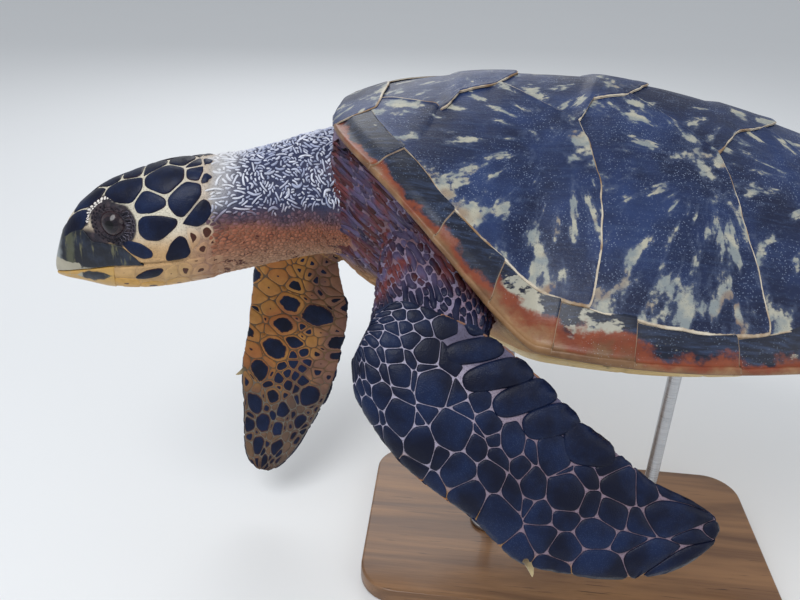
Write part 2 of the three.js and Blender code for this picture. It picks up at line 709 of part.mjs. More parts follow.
// A prism across the head from an outline seen from the side.
function acrossHead(outline, growX, growZ) {
  const shape = new THREE.Shape(outline.map(([x, z]) => new THREE.Vector2(x + growX, z + growZ)));
  const prism = new THREE.ExtrudeGeometry(shape, { depth: 2 * HEAD_LENGTH, bevelEnabled: false });
  return prism.rotateX(Math.PI / 2).translate(0, HEAD_LENGTH, 0);
}

function onNeck(geometry) {
  return geometry.rotateZ(Math.PI + THREE.MathUtils.degToRad(HEAD_TURN)).translate(...HEAD_JOINT);
}

const BEAK_REAR = UPPER_BEAK[UPPER_BEAK.length - 1];
const belowMouth = (growX, growZ) => acrossHead(
  [...MOUTH, [CUT_END, -CUT_DEPTH], [JAW_CORNER[0], -CUT_DEPTH], JAW_CORNER], growX, growZ,
);
const overBeak = (growX, growZ) => acrossHead(
  [...UPPER_BEAK, [BEAK_REAR[0], -CUT_DEPTH], [CUT_END, -CUT_DEPTH]], growX, growZ,
);
const underBeak = (growX) => acrossHead(
  [...LOWER_BEAK, [CUT_END, -CUT_DEPTH], [CUT_END, 0], [LOWER_BEAK[0][0], 0]], growX, 0,
);

function eyeball(side, grow) {
  const [x, y, z] = EYE_AT;
  const ball = new THREE.SphereGeometry(EYE_RADIUS + grow, EYE_SIDES, EYE_SIDES / 2 + 2);
  return ball.translate(x, side * y, z);
}

// A claw on the leading edge of a blade, `at` along it.
function claw(shape, stations, at, length) {
  const root = vec(shape.root);
  const forward = vec(shape.tip).sub(root).normalize();
  const leading = vec(shape.leading);
  leading.addScaledVector(forward, -leading.dot(forward)).normalize();
  const upper = forward.clone().cross(leading).normalize();
  const lean = THREE.MathUtils.degToRad(CLAW_LEAN);
  const point = forward.clone().multiplyScalar(Math.cos(lean)).addScaledVector(leading, Math.sin(lean));
  const edge = along(shape.bow, at) + along(field(stations, 'half'), at);
  const foot = root.addScaledVector(forward, at).addScaledVector(leading, edge - CLAW_ROOT)
    .addScaledVector(upper, shape.dip * (at / length) ** 2);
  const cone = new THREE.ConeGeometry(CLAW_RADIUS, CLAW_LENGTH, CLAW_SIDES);
  cone.translate(0, (CLAW_LENGTH - CLAW_ROOT) / 2, 0);
  const turn = new THREE.Quaternion().setFromUnitVectors(new THREE.Vector3(0, 1, 0), point);
  return cone.applyQuaternion(turn).translate(foot.x, foot.y, foot.z);
}

function union(...geometries) {
  return fromManifold(wasm.Manifold.union(geometries.map(toManifold)));
}

// ---- Assembly ------------------------------------------------------------------------------

const turtle = new THREE.Group();
turtle.name = 'hawksbill_sea_turtle';

function add(name, geometry, finish) {
  const material = new THREE.MeshStandardMaterial({ metalness: 0, ...FINISHES[finish] });
  const mesh = new THREE.Mesh(geometry, material);
  mesh.name = name;
  turtle.add(mesh);
}

function addToBody(name, geometry, finish) {
  geometry.translate(-STAND_CENTRE, 0, RIM_OVER_FLOOR);
  add(name, geometry, finish);
}

const sides = [['left', -1], ['right', 1]];

// Shell
addToBody('nuchal', nuchal(), 'scute');
for (let i = 0; i < 5; i += 1) addToBody(`vertebral_${i + 1}`, vertebral(i), 'scute');
sides.forEach(([name, side]) => {
  for (let i = 0; i < 4; i += 1) addToBody(`costal_${name}_${i + 1}`, costal(i, side), 'scute');
  for (let i = 0; i < 11; i += 1) addToBody(`marginal_${name}_${i + 1}`, marginal(i, side), 'scute');
  addToBody(`supracaudal_${name}`, marginal(11, side), 'scute');
});

// Trunk, plastron, tail and neck
const acrossBody = new THREE.Vector3(0, 1, 0);
const headRings = (grow) => HEAD_PROFILE.map((p) => headSection(p.at, grow));
const headBack = headSection(0, GAP).map((p) => p.setX(-GAP));
const headSeat = onNeck(loft([headBack, ...headRings(GAP).slice(1)]));
const seats = [marginSeat(-1), marginSeat(1)];
const trunkSeat = trunk(GAP);
addToBody('plastron', cut(plastron(0), ...seats), 'plastron');
addToBody('trunk', cut(trunk(0), ...seats, plastron(GAP)), 'skin');
addToBody('tail', cut(tube(TAIL, acrossBody, TAIL_SIDES, 0), trunkSeat, plastron(GAP), ...seats), 'skin');
addToBody('neck', cut(tube(NECK, acrossBody, NECK_SIDES, 0), trunkSeat, headSeat, ...seats), 'skin');

// Head, in its own frame: x forwards from the neck joint
const skull = loft(headRings(0));
const upper = cut(skull, belowMouth(-GAP, GAP));
const lower = common(skull, belowMouth(0, 0));
const sockets = [eyeball(1, GAP), eyeball(-1, GAP)];
addToBody('head', onNeck(cut(upper, overBeak(-GAP, GAP), ...sockets)), 'scales');
addToBody('beak_upper', onNeck(cut(common(upper, overBeak(0, 0)), ...sockets)), 'beak');
addToBody('jaw', onNeck(cut(lower, underBeak(-GAP))), 'scales');
addToBody('beak_lower', onNeck(common(lower, underBeak(0))), 'beak');
addToBody('eye_left', onNeck(eyeball(1, 0)), 'eye');
addToBody('eye_right', onNeck(eyeball(-1, 0)), 'eye');

// Flippers
const leftFlat = new THREE.Vector3(1, 0, 0);
const rightFlat = new THREE.Vector3(-1, 0, 1);
const limbs = [
  { side: 'left', arm: LEFT_ARM, flat: leftFlat, fore: LEFT_BLADE, hind: LEFT_PADDLE },
  { side: 'right', arm: RIGHT_ARM, flat: rightFlat, fore: RIGHT_BLADE, hind: RIGHT_PADDLE },
];
limbs.forEach(({ side, arm, flat, fore, hind }) => {
  const armSeat = tube(arm, flat, ARM_SIDES, GAP);
  const foreBlade = (grow) => blade(fore, BLADE, BLADE_LENGTH, grow);
  const paddle = blade(hind, PADDLE, PADDLE_LENGTH, 0);
  addToBody(`arm_${side}`, cut(tube(arm, flat, ARM_SIDES, 0), trunkSeat, plastron(GAP), ...seats), 'skin');
  addToBody(`flipper_front_${side}`, cut(foreBlade(0), armSeat, ...seats), 'scales');
  const foreClaw = claw(fore, BLADE, FORE_CLAW_AT, BLADE_LENGTH);
  addToBody(`claw_front_${side}`, cut(foreClaw, foreBlade(GAP)), 'claw');
  const toed = union(paddle, claw(hind, PADDLE, HIND_CLAW_AT, PADDLE_LENGTH));
  addToBody(`flipper_hind_${side}`, cut(toed, trunkSeat, plastron(GAP), ...seats), 'scales');
});

// Stand
const corner = { x: BASE_LENGTH / 2 - BASE_EDGE, y: BASE_WIDTH / 2 - BASE_EDGE };
const board = new THREE.Shape();
board.moveTo(-corner.x + BASE_CORNER, -corner.y);
board.lineTo(corner.x - BASE_CORNER, -corner.y);
board.quadraticCurveTo(corner.x, -corner.y, corner.x, -corner.y + BASE_CORNER);
board.lineTo(corner.x, corner.y - BASE_CORNER);
board.quadraticCurveTo(corner.x, corner.y, corner.x - BASE_CORNER, corner.y);
board.lineTo(-corner.x + BASE_CORNER, corner.y);
board.quadraticCurveTo(-corner.x, corner.y, -corner.x, corner.y - BASE_CORNER);
board.lineTo(-corner.x, -corner.y + BASE_CORNER);
board.quadraticCurveTo(-corner.x, -corner.y, -corner.x + BASE_CORNER, -corner.y);
const base = new THREE.ExtrudeGeometry(board, {
  depth: BASE_HEIGHT - 2 * BASE_EDGE,
  bevelThickness: BASE_EDGE,
  bevelSize: BASE_EDGE,
  bevelSegments: 1,
  curveSegments: 6,
});
base.translate(0, 0, BASE_EDGE);
add('stand_base', fromManifold(toManifold(base)), 'wood');

const foot = BASE_HEIGHT + GAP;
const bellyPlate = RIM_OVER_FLOOR + belly(STAND_CENTRE, 0) - PLASTRON_THICKNESS - GAP;
const rodOutline = [
  [0, foot],
  [COLLAR_RADIUS, foot],
  [COLLAR_RADIUS, foot + COLLAR_HEIGHT],
  [ROD_RADIUS, foot + 2 * COLLAR_HEIGHT],
  [ROD_RADIUS, bellyPlate - 3 * PAD_HEIGHT],
  [PAD_RADIUS, bellyPlate - PAD_HEIGHT],
  [PAD_RADIUS, bellyPlate],
  [0, bellyPlate],
].map(([r, z]) => new THREE.Vector2(r, z));
[['front', -1], ['rear', 1]].forEach(([name, end]) => {
  const rod = new THREE.LatheGeometry(rodOutline, ROD_SIDES).rotateX(Math.PI / 2);
  rod.translate((end * ROD_SPACING) / 2, 0, 0);
  add(`stand_rod_${name}`, fromManifold(toManifold(rod)), 'steel');
});

export default turtle;
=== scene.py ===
# The looks of the hawksbill sea turtle: skin, scales, scutes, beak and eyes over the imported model.
import math
import bmesh
import bpy
import numpy as np
from mathutils import Matrix, Vector
from mathutils.bvhtree import BVHTree
from mathutils.kdtree import KDTree


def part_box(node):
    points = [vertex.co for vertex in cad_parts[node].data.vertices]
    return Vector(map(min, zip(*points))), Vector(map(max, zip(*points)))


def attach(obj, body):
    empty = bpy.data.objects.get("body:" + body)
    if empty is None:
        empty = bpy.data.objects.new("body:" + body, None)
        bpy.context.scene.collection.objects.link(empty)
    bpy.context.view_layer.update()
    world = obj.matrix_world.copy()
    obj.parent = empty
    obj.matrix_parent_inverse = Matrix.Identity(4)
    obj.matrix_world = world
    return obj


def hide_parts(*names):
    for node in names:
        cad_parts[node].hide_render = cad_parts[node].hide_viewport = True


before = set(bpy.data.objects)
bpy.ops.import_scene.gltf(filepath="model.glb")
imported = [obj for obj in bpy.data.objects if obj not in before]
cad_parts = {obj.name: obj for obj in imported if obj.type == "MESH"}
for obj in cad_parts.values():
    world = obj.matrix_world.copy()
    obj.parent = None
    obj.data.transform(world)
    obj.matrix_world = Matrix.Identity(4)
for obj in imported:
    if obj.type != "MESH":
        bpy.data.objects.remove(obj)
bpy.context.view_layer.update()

# ---- Sizes, in millimetres in the shell frame of the solids ---------------------------------
SHELL_LENGTH = 700
SHELL_HALF_WIDTH = 264
FRONT_RISE = 128
BELLY_DEPTH = 78
PLATE_DEPTH = 8
ROD_MIDDLE = 310
FRONT_POWER = 0.5
REAR_POWER = 0.62
RISE_ENDS = 0.3
RISE_POWER = 1.4
DOME_ROUND = 1.4
DOME_FULL = 0.83
RIM_THICKNESS = 7
SERRATION = 9
KEEL = [[0, 132], [0.1, 158], [0.25, 174], [0.38, 175], [0.45, 170], [0.64, 141], [0.8, 100],
        [0.92, 55], [1, 14]]
MARGIN_BREADTH = [[0, 37], [0.1, 37], [0.17, 30], [0.24, 31], [0.31, 28], [0.41, 23], [0.53, 18],
                  [0.64, 24], [0.73, 32], [0.81, 42], [0.885, 50], [1, 53]]
MARGIN_ENDS = [0.014, 0.078, 0.165, 0.236, 0.314, 0.409, 0.531, 0.64, 0.73, 0.812, 0.885, 0.948, 1]
NUCHAL_REAR = (50, 0)
NUCHAL_CORNER = (47, 40)
VERTEBRALS = [
    dict(apex=(112, 70), notch=(124, 42), join=(162, 26), tip=(183, 0)),
    dict(apex=(238, 78), notch=(254, 43), join=(290, 30), tip=(313, 0)),
    dict(apex=(368, 90), notch=(396, 47), join=(424, 27), tip=(447, 0)),
    dict(apex=(490, 76), notch=(513, 41), join=(536, 24), tip=(556, 0)),
]
LAST_APEX = (590, 68)
LAST_CORNER_AT = 0.925
COSTAL_SEAMS = [
    dict(bends=[(247, 100), (257, 147), (257, 196)], ends_at=0.35),
    dict(bends=[(378, 127), (383, 164), (391, 202)], ends_at=0.572),
    dict(bends=[(503, 110), (513, 148)], ends_at=0.75),
]
BELLY = [[0, -26], [0.025, -44], [0.06, -58], [0.12, -70], [0.2, -78], [0.8, -78], [0.89, -58],
         [0.95, -34]]
TRUNK_BREADTH = [[0, 56], [0.025, 84], [0.06, 118], [0.1, 146], [0.15, 180], [0.21, 208], [0.3, 234],
                 [0.45, 246], [0.6, 232], [0.75, 192], [0.85, 142], [0.92, 92], [0.95, 60]]
PLASTRON = [[0.12, 40], [0.16, 84], [0.25, 104], [0.33, 186], [0.45, 196], [0.58, 180], [0.67, 92],
            [0.78, 66], [0.86, 28]]
FLAT_BELLY = 0.18
BELLY_SWEEP = 2.2
BELLY_UNDER_RIM = 14
UNDER_SCUTES = 8
TUCK = 30
HEAD_JOINT = (-126, -46, 0)
HEAD_TURN = 13
HEAD = [  # at, half breadth, top, bottom
    (0, 57, 80, -53), (16, 58, 78, -56), (38, 57, 75, -60), (62, 52, 69, -64), (82, 45, 62, -66),
    (98, 40, 56, -66), (112, 35, 49, -65), (126, 30, 38, -62), (138, 25, 28, -59),
    (148, 20.5, 16, -57), (157, 16, 0, -55), (164, 11, -18, -53), (169, 6, -34, -51),
]
MOUTH = [(26, -13), (68, -21), (105, -28), (141, -38), (185, -50)]
UPPER_BEAK = [(185, 4), (153, 5), (131, 9), (122, -2), (92, -3), (70, -22.5)]
LOWER_BEAK = [(102, -28.6), (112, -90), (190, -90)]
NOSTRIL = (160.5, 4.6, 2.0)
BEAK_VOXEL = 0.0009
EYE_AT = (96, 25, 17.5)
EYE_RADIUS = 17
NECK = [  # centre, half breadth, half height
    (70, 0, 34, 66, 72), (30, -1, 36, 68, 76), (-8, -6, 34, 64, 70), (-45, -16, 27, 59, 65),
    (-85, -30, 19, 56, 64), (-142, -52, 12, 57, 66.5),
]
LEFT_ARM = [
    (118, -96, 22, 56, 52), (121, -150, 16, 56, 46), (121, -205, 6, 54, 36), (116, -250, -6, 50, 28),
    (110, -282, -16, 38, 19), (107, -298, -21, 18, 9),
]
RIGHT_ARM = [
    (112, 96, 20, 56, 52), (78, 132, 6, 56, 46), (34, 146, -18, 54, 36), (-12, 140, -50, 50, 28),
    (-42, 128, -84, 42, 20), (-54, 118, -108, 22, 10),
]
TAIL = [
    (606, 0, -30, 34, 22), (640, 0, -32, 24, 17), (675, 0, -31, 15, 12), (703, 0, -28, 8, 7),
    (718, 0, -26, 3, 3),
]
BLADE = [  # at, half breadth, thickness
    (-10, 22, 15), (4, 43, 28), (36, 56, 33), (70, 64, 30), (100, 66, 26), (134, 64, 22),
    (165, 64, 19), (195, 61, 16), (222, 54, 14), (250, 46, 12), (275, 39, 10.5), (298, 30, 9),
    (312, 20, 8), (320, 8, 6.5),
]
PADDLE = [
    (-30, 34, 40), (10, 38, 36), (50, 40, 28), (90, 47, 20), (130, 52, 14), (165, 47, 11),
    (192, 34, 9), (207, 20, 7.5), (213, 8, 6.5),
]
LEFT_BLADE = dict(
    root=(68, -285, -11), tip=(363, -335, -115), leading=(-0.36, -0.41, -0.84), dip=14, stations=BLADE,
    bow=[[-6, -22], [40, -10], [70, -4], [100, 1], [134, 9], [193, 27], [240, 27], [292, 15], [321, 0]])
RIGHT_BLADE = dict(
    root=(-52, 122, -82), tip=(-105, 20, -392), leading=(-1, 0, 0.12), dip=-12, stations=BLADE,
    bow=[[-6, 12], [40, 9], [90, -3], [150, -6], [230, -6], [321, 0]])
LEFT_PADDLE = dict(
    root=(578, -118, -30), tip=(762, -222, -62), leading=(-0.45, -0.87, -0.1), dip=6, stations=PADDLE,
    bow=[[-30, 0], [100, 3], [213, -12]])
RIGHT_PADDLE = dict(
    root=(578, 118, -30), tip=(772, 196, -84), leading=(-0.37, 0.9, -0.1), dip=6, stations=PADDLE,
    bow=[[-30, 0], [100, 3], [213, -12]])
CLAW_LENGTH = 17
CLAW_RADIUS = 4.5
CLAW_LEAN = 41
FORE_CLAW_AT = 186
HIND_CLAW_AT = 140

# ---- Frame ----------------------------------------------------------------------------------
front_rod, rear_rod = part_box("stand_rod_front"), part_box("stand_rod_rear")
ORIGIN = np.array([
    (front_rod[0][0] + rear_rod[1][0]) / 2 - ROD_MIDDLE / 1000,
    0.0,
    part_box("plastron")[0][2] + (BELLY_DEPTH + PLATE_DEPTH) / 1000,
])


def to_row(points):
    return np.asarray(points, float) / 1000 + ORIGIN


# ---- Small maths ----------------------------------------------------------------------------
def lerp(a, b, t):
    return a + (b - a) * t


def smoothstep(x, low, high):
    s = np.clip((np.asarray(x, float) - low) / (high - low), 0, 1)
    return s * s * (3 - 2 * s)


def unit(v):
    v = np.asarray(v, float)
    return v / np.maximum(np.linalg.norm(v, axis=-1, keepdims=True), 1e-12)


def along(pairs, x):
    """Value at x of a smooth curve through (x, value) pairs that doesn't overshoot them."""
    xs, ys = np.array(pairs, float).T
    x = np.clip(np.asarray(x, float), xs[0], xs[-1])
    rise = np.diff(ys) / np.diff(xs)
    total = rise[:-1] + rise[1:]
    product = rise[:-1] * rise[1:]
    inner = np.where(product > 0, 2 * product / np.where(total == 0, 1, total), 0)
    slope = np.concatenate([rise[:1], inner, rise[-1:]])
    i = np.clip(np.searchsorted(xs, x, side="right") - 1, 0, len(xs) - 2)
    width = xs[i + 1] - xs[i]
    t = (x - xs[i]) / width
    a, b = ys[i], ys[i + 1]
    leave = slope[i] * width - (b - a)
    arrive = slope[i + 1] * width - (b - a)
    return lerp(a, b, t) + t * (1 - t) * ((1 - t) * leave - t * arrive)


def column(table, k):
    return [(row[0], row[k]) for row in table]


def lattice(i, j, k):
    h = np.sin(i * 127.1 + j * 311.7 + k * 74.7) * 43758.5453
    return h - np.floor(h)


def value_noise(p):
    """Smooth noise from -1 to 1 over points given in cells."""
    base = np.floor(p)
    f = p - base
    f = f * f * (3 - 2 * f)
    total = 0
    for dx in (0, 1):
        for dy in (0, 1):
            for dz in (0, 1):
                w = (f[..., 0] if dx else 1 - f[..., 0]) * (f[..., 1] if dy else 1 - f[..., 1])
                w = w * (f[..., 2] if dz else 1 - f[..., 2])
                total = total + w * lattice(base[..., 0] + dx, base[..., 1] + dy, base[..., 2] + dz)
    return 2 * total - 1


def reach_along(points):
    """How far each point of a line lies from its first, along it."""
    return np.concatenate([[0], np.cumsum(np.linalg.norm(np.diff(points, axis=0), axis=1))])


def at_reach(points, reach, wanted):
    """Places in the plane at the wanted distances along a line."""
    return np.stack([np.interp(wanted, reach, points[:, k]) for k in (0, 1)], -1)


def bell(x, width):
    return np.exp(-(x / width) ** 2)


def fractal(p, size, octaves):
    """Noise over points in millimetres, with finer and fainter noise added to it."""
    total = 0
    for k in range(octaves):
        total = total + value_noise(np.asarray(p) * 2 ** k / size + 17.3 * k) / 2 ** k
    return total / 1.6


# ---- Shell surface --------------------------------------------------------------------------
def fullness(t):
    return np.maximum(t, 0) ** FRONT_POWER * np.maximum(1 - t, 0) ** REAR_POWER


WIDEST = FRONT_POWER / (FRONT_POWER + REAR_POWER)


def rim_half(t):
    return SHELL_HALF_WIDTH * fullness(np.asarray(t, float)) / fullness(WIDEST)


def rim_height(t):
    return FRONT_RISE * np.maximum(0, 1 - (np.asarray(t, float) / RISE_ENDS) ** 2) ** RISE_POWER


def dome(x, y):
    t = np.clip(np.asarray(x, float) / SHELL_LENGTH, 0, 1)
    across = np.clip(np.abs(y) / np.maximum(rim_half(t), 1), 0, 1)
    return lerp(rim_height(t), along(KEEL, t), (1 - across ** DOME_ROUND) ** DOME_FULL)


def rim_at(turn):
    s = (1 - np.cos(np.pi * turn)) / 2
    return np.stack([s * SHELL_LENGTH, rim_half(s)], -1)


def rim_point(t, inward, side):
    """Point of the rim in plan, `inward` from its edge."""
    t = np.asarray(t, float)
    turn = np.arccos(np.clip(1 - 2 * t, -1, 1)) / np.pi
    step = 0.004
    tangent = unit(rim_at(np.minimum(turn + step, 1)) - rim_at(np.minimum(turn, 1 - step) - step))
    tangent = np.where((t >= 1)[..., None], np.array([0.0, -1.0]), tangent)
    inward = np.asarray(inward, float)[..., None]
    point = rim_at(turn) + inward * np.stack([tangent[..., 1], -tangent[..., 0]], -1)
    return point * np.array([1, side])


def inner_seam(t, side):
    return rim_point(t, along(MARGIN_BREADTH, t), side)


def seam_run(start, end, side):
    count = max(int(abs(end - start) * 240), 6)
    return inner_seam(np.linspace(start, end, count), side)


def belly(x, y):
    t = np.asarray(x, float) / SHELL_LENGTH
    share = np.clip((np.abs(y) / along(TRUNK_BREADTH, t) - FLAT_BELLY) / (1 - FLAT_BELLY), 0, 1)
    return lerp(along(BELLY, t), rim_height(t) - BELLY_UNDER_RIM, share ** BELLY_SWEEP)


# ---- Meshes ---------------------------------------------------------------------------------
def plane_noise(x, y, size, octaves):
    """The same noise over places in the plane."""
    return fractal(np.stack([x, y, np.zeros(np.shape(x))], -1), size, octaves)


def tree_of(points):
    """A tree that finds the nearest of some points of space, or of the plane at height 0."""
    tree = KDTree(len(points))
    for k, point in enumerate(points):
        tree.insert((*point, 0)[:3], k)
    tree.balance()
    return tree


def read(items, key, width, kind=np.float32):
    """A property of each item of a mesh, a row for each."""
    out = np.empty(width * len(items), kind)
    items.foreach_get(key, out)
    return out.reshape(-1, width)


def shell_points(mesh):
    """The points of a mesh in the shell frame."""
    return (read(mesh.vertices, "co", 3).astype(float) - ORIGIN) * 1000


def normals(mesh):
    return read(mesh.vertex_normals, "vector", 3).astype(float)


def set_points(mesh, points):
    mesh.vertices.foreach_set("co", to_row(points).astype(np.float32).ravel())


def smooth(mesh):
    mesh.polygons.foreach_set("use_smooth", [True] * len(mesh.polygons))


def put_in_scene(name, data):
    piece = bpy.data.objects.new(name, data)
    bpy.context.scene.collection.objects.link(piece)
    return piece


def make(name, points, faces, material, slot, place=to_row):
    """A new piece riding on the body, from points in the shell frame unless `place` says another."""
    mesh = bpy.data.meshes.new(name)
    mesh.from_pydata(place(points).tolist(), [], faces)
    mesh.validate()
    smooth(mesh)
    mesh.materials.append(material)
    piece = put_in_scene(name, mesh)
    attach(piece, "root")
    return piece


def give(piece, name, values):
    """A value, or a row of three, at each point of a piece."""
    values = np.asarray(values, np.float32)
    kind, key = ("FLOAT", "value") if values.ndim == 1 else ("FLOAT_VECTOR", "vector")
    piece.data.attributes.new(name, kind, "POINT").data.foreach_set(key, values.ravel())


def give_map(piece, uv):
    """The bake's map, from a place for each point."""
    layer = piece.data.uv_layers.new(name="OFBake")
    index = read(piece.data.loops, "vertex_index", 1, np.int32).ravel()
    layer.uv.foreach_set("vector", np.asarray(uv, np.float32)[index].ravel())


def grid_faces(rows, columns, start=0, wrap=False, flip=False):
    faces = []
    for i in range(rows - 1):
        for j in range(columns if wrap else columns - 1):
            k = (j + 1) % columns
            near, far = start + i * columns, start + (i + 1) * columns
            quad = (near + j, near + k, far + k, far + j)
            faces.append(quad[::-1] if flip else quad)
    return faces


def closed(grid):
    """Points and faces of a closed loft over rings, each end closed by a fan."""
    rows, columns = grid.shape[:2]
    points = grid.reshape(-1, 3)
    faces = grid_faces(rows, columns, wrap=True)
    first, second = len(points), len(points) + 1
    last = (rows - 1) * columns
    for j in range(columns):
        k = (j + 1) % columns
        faces += [(first, k, j), (second, last + j, last + k)]
    return np.vstack([points, grid[0].mean(0), grid[-1].mean(0)]), faces


# ---- Materials ------------------------------------------------------------------------------
def slab(upper, lower, flip):
    """Points and faces of a plate between an upper and a lower grid."""
    rows, columns = upper.shape[:2]
    base = rows * columns
    faces = grid_faces(rows, columns, 0, flip=flip) + grid_faces(rows, columns, base, flip=not flip)
    rim = [(i, 0) for i in range(rows)] + [(rows - 1, j) for j in range(1, columns)]
    rim += [(i, columns - 1) for i in range(rows - 2, -1, -1)] + [(0, j) for j in range(columns - 2, 0, -1)]
    rim = [i * columns + j for i, j in rim]
    for p, q in zip(rim, rim[1:] + rim[:1]):
        quad = (p, q, base + q, base + p)
        faces.append(quad if flip else quad[::-1])
    return np.vstack([upper.reshape(-1, 3), lower.reshape(-1, 3)]), faces


class Shader:
    """A node material, with short calls for the nodes that are used here."""

    def __init__(self, name, roughness, coat=0.0, specular=0.5, metallic=0.0):
        self.material = bpy.data.materials.new(name)
        self.material.use_nodes = True
        self.tree = self.material.node_tree
        self.base = self.tree.nodes["Principled BSDF"]
        settings = {"Roughness": roughness, "Specular IOR Level": specular, "Metallic": metallic,
                    "Coat Weight": coat, "Coat Roughness": 0.15}
        for key, value in settings.items():
            self.base.inputs[key].default_value = value
        self.where = self.node("ShaderNodeTexCoord").outputs["Object"]

    def put(self, socket, value):
        if isinstance(value, bpy.types.NodeSocket):
            self.tree.links.new(value, socket)
        elif hasattr(socket.default_value, "__len__"):
            value = tuple(value)
            socket.default_value = value + (1.0,) * (len(socket.default_value) - len(value))
        else:
            socket.default_value = value

    def node(self, kind, inputs=(), **settings):
        node = self.tree.nodes.new(kind)
        for key, value in settings.items():
            setattr(node, key, value)
        for key, value in dict(inputs).items():
            self.put(node.inputs[key], value)
        return node

    def math(self, operation, a, b):
        return self.node("ShaderNodeMath", {0: a, 1: b}, operation=operation).outputs[0]

    def plus(self, a, b):
        return self.math("ADD", a, b)

    def times(self, a, b):
        return self.math("MULTIPLY", a, b)

    def swing(self, noise, amount):
        """Noise as a swing to both sides of 0."""
        return self.times(self.math("SUBTRACT", noise, 0.5), amount)

    def noise(self, scale, detail=3.0, roughness=0.55, where=None, distortion=0.0):
        inputs = {"Vector": where or self.where, "Scale": scale, "Detail": detail,
                  "Roughness": roughness, "Distortion": distortion}
        return self.node("ShaderNodeTexNoise", inputs).outputs["Fac"]

    def streaks(self, scale, detail, roughness=0.55, where=None, distortion=0.0):
        """Noise with a scale of its own each way."""
        inputs = {"Vector": where or self.where, "Scale": scale}
        stretched = self.node("ShaderNodeMapping", inputs).outputs["Vector"]
        return self.noise(1.0, detail, roughness, stretched, distortion)

    def spots(self, scale):
        inputs = {"Vector": self.where, "Scale": scale}
        return self.node("ShaderNodeTexVoronoi", inputs).outputs["Distance"]

    def step(self, value, low, high):
        inputs = {"Value": value, "From Min": low, "From Max": high}
        return self.node("ShaderNodeMapRange", inputs, interpolation_type="SMOOTHSTEP").outputs["Result"]

    def mix(self, share, a, b, blend="MIX"):
        inputs = {0: share, 6: a, 7: b}
        return self.node("ShaderNodeMix", inputs, data_type="RGBA", blend_type=blend).outputs[2]

    def shaded(self, tone, shade):
        """A tone made lighter and darker by a shade."""
        grey = self.node("ShaderNodeCombineColor", {0: shade, 1: shade, 2: shade}).outputs[0]
        return self.mix(1.0, tone, grey, "MULTIPLY")

    def value(self, name):
        return self.node("ShaderNodeAttribute", attribute_name=name).outputs["Fac"]

    def vector(self, name):
        return self.node("ShaderNodeAttribute", attribute_name=name).outputs["Vector"]

    def colour(self, value):
        self.put(self.base.inputs["Base Color"], value)

    def rough(self, value, share, least):
        """Roughness that follows a value, from its least."""
        self.put(self.base.inputs["Roughness"], self.plus(self.times(value, share), least))

    def bump(self, *heights):
        """Bumps from (height, depth in metres) pairs."""
        normal = None
        for height, depth in heights:
            inputs = {"Height": height, "Strength": 1.0, "Distance": depth}
            if normal:
                inputs["Normal"] = normal
            normal = self.node("ShaderNodeBump", inputs).outputs["Normal"]
        self.put(self.base.inputs["Normal"], normal)


def carapace_shards(s):
    """The field that is high in the shards, and the jagged noise in it."""
    fan = s.vector("fan")
    radius = s.node("ShaderNodeSeparateXYZ", {0: fan}).outputs[1]
    rays = s.streaks((0.092, 0.027, 1.0), 3.0, where=fan)
    inputs = {0: s.step(radius, 30, 62), 2: s.noise(34, roughness=0.6), 3: rays}
    wide = s.node("ShaderNodeMix", inputs, data_type="FLOAT").outputs[0]
    jag = s.noise(190, 4.0, 0.72)
    return s.plus(s.plus(wide, s.times(jag, 0.22)), s.times(s.value("near"), 0.085)), jag


def carapace_material():
    """Dark stippled horn with jagged cream shards that fan from the rear of each scute."""
    s = Shader("carapace", roughness=0.45, coat=0.02, specular=0.24)
    field, jag = carapace_shards(s)
    lines = s.streaks((16, 260, 260), 4.0, 0.7)
    cloud = s.step(s.noise(11, 4.0, 0.6), 0.36, 0.7)
    dark = s.mix(cloud, (0.006, 0.011, 0.038), (0.019, 0.038, 0.118))
    dark = s.mix(s.times(s.step(lines, 0.45, 0.75), 0.32), dark, (0.045, 0.075, 0.16))
    patches = s.step(s.noise(30, 4.0, 0.62), 0.40, 0.62)
    dots = s.times(s.step(s.spots(430), 0.30, 0.16), s.plus(s.times(patches, 0.75), 0.1))
    dust = s.times(s.step(s.spots(900), 0.30, 0.14), s.step(s.noise(17), 0.40, 0.60))
    dark = s.mix(s.times(dust, 0.42), dark, (0.12, 0.17, 0.28))
    dark = s.mix(s.times(dots, 0.72), dark, (0.20, 0.25, 0.36))
    dark = s.mix(s.times(s.step(field, 0.64, 0.72), 0.30), dark, (0.09, 0.12, 0.20))
    cream = s.mix(s.step(s.noise(60, 4.0), 0.35, 0.65), (0.20, 0.23, 0.24), (0.38, 0.37, 0.30))
    amber = s.times(s.step(s.noise(26, 2.0), 0.57, 0.68), s.value("near"))
    cream = s.mix(s.times(amber, 0.75), cream, (0.20, 0.10, 0.05))
    cream = s.mix(s.times(s.step(s.spots(600), 0.24, 0.10), 0.6), cream, (0.08, 0.07, 0.07))
    colour = s.mix(s.step(field, 0.708, 0.775), dark, cream)
    worn = s.plus(s.value("lip"), s.swing(s.noise(110, 4.0, 0.7), 1.1))
    seam = s.mix(s.step(s.noise(40), 0.34, 0.62), (0.24, 0.15, 0.08), (0.56, 0.50, 0.40))
    s.colour(s.mix(s.step(worn, 0.50, 0.78), colour, seam))
    s.rough(jag, 0.22, 0.33)
    s.bump((lines, 0.00028), (s.noise(420), 0.00025))
    return s.material


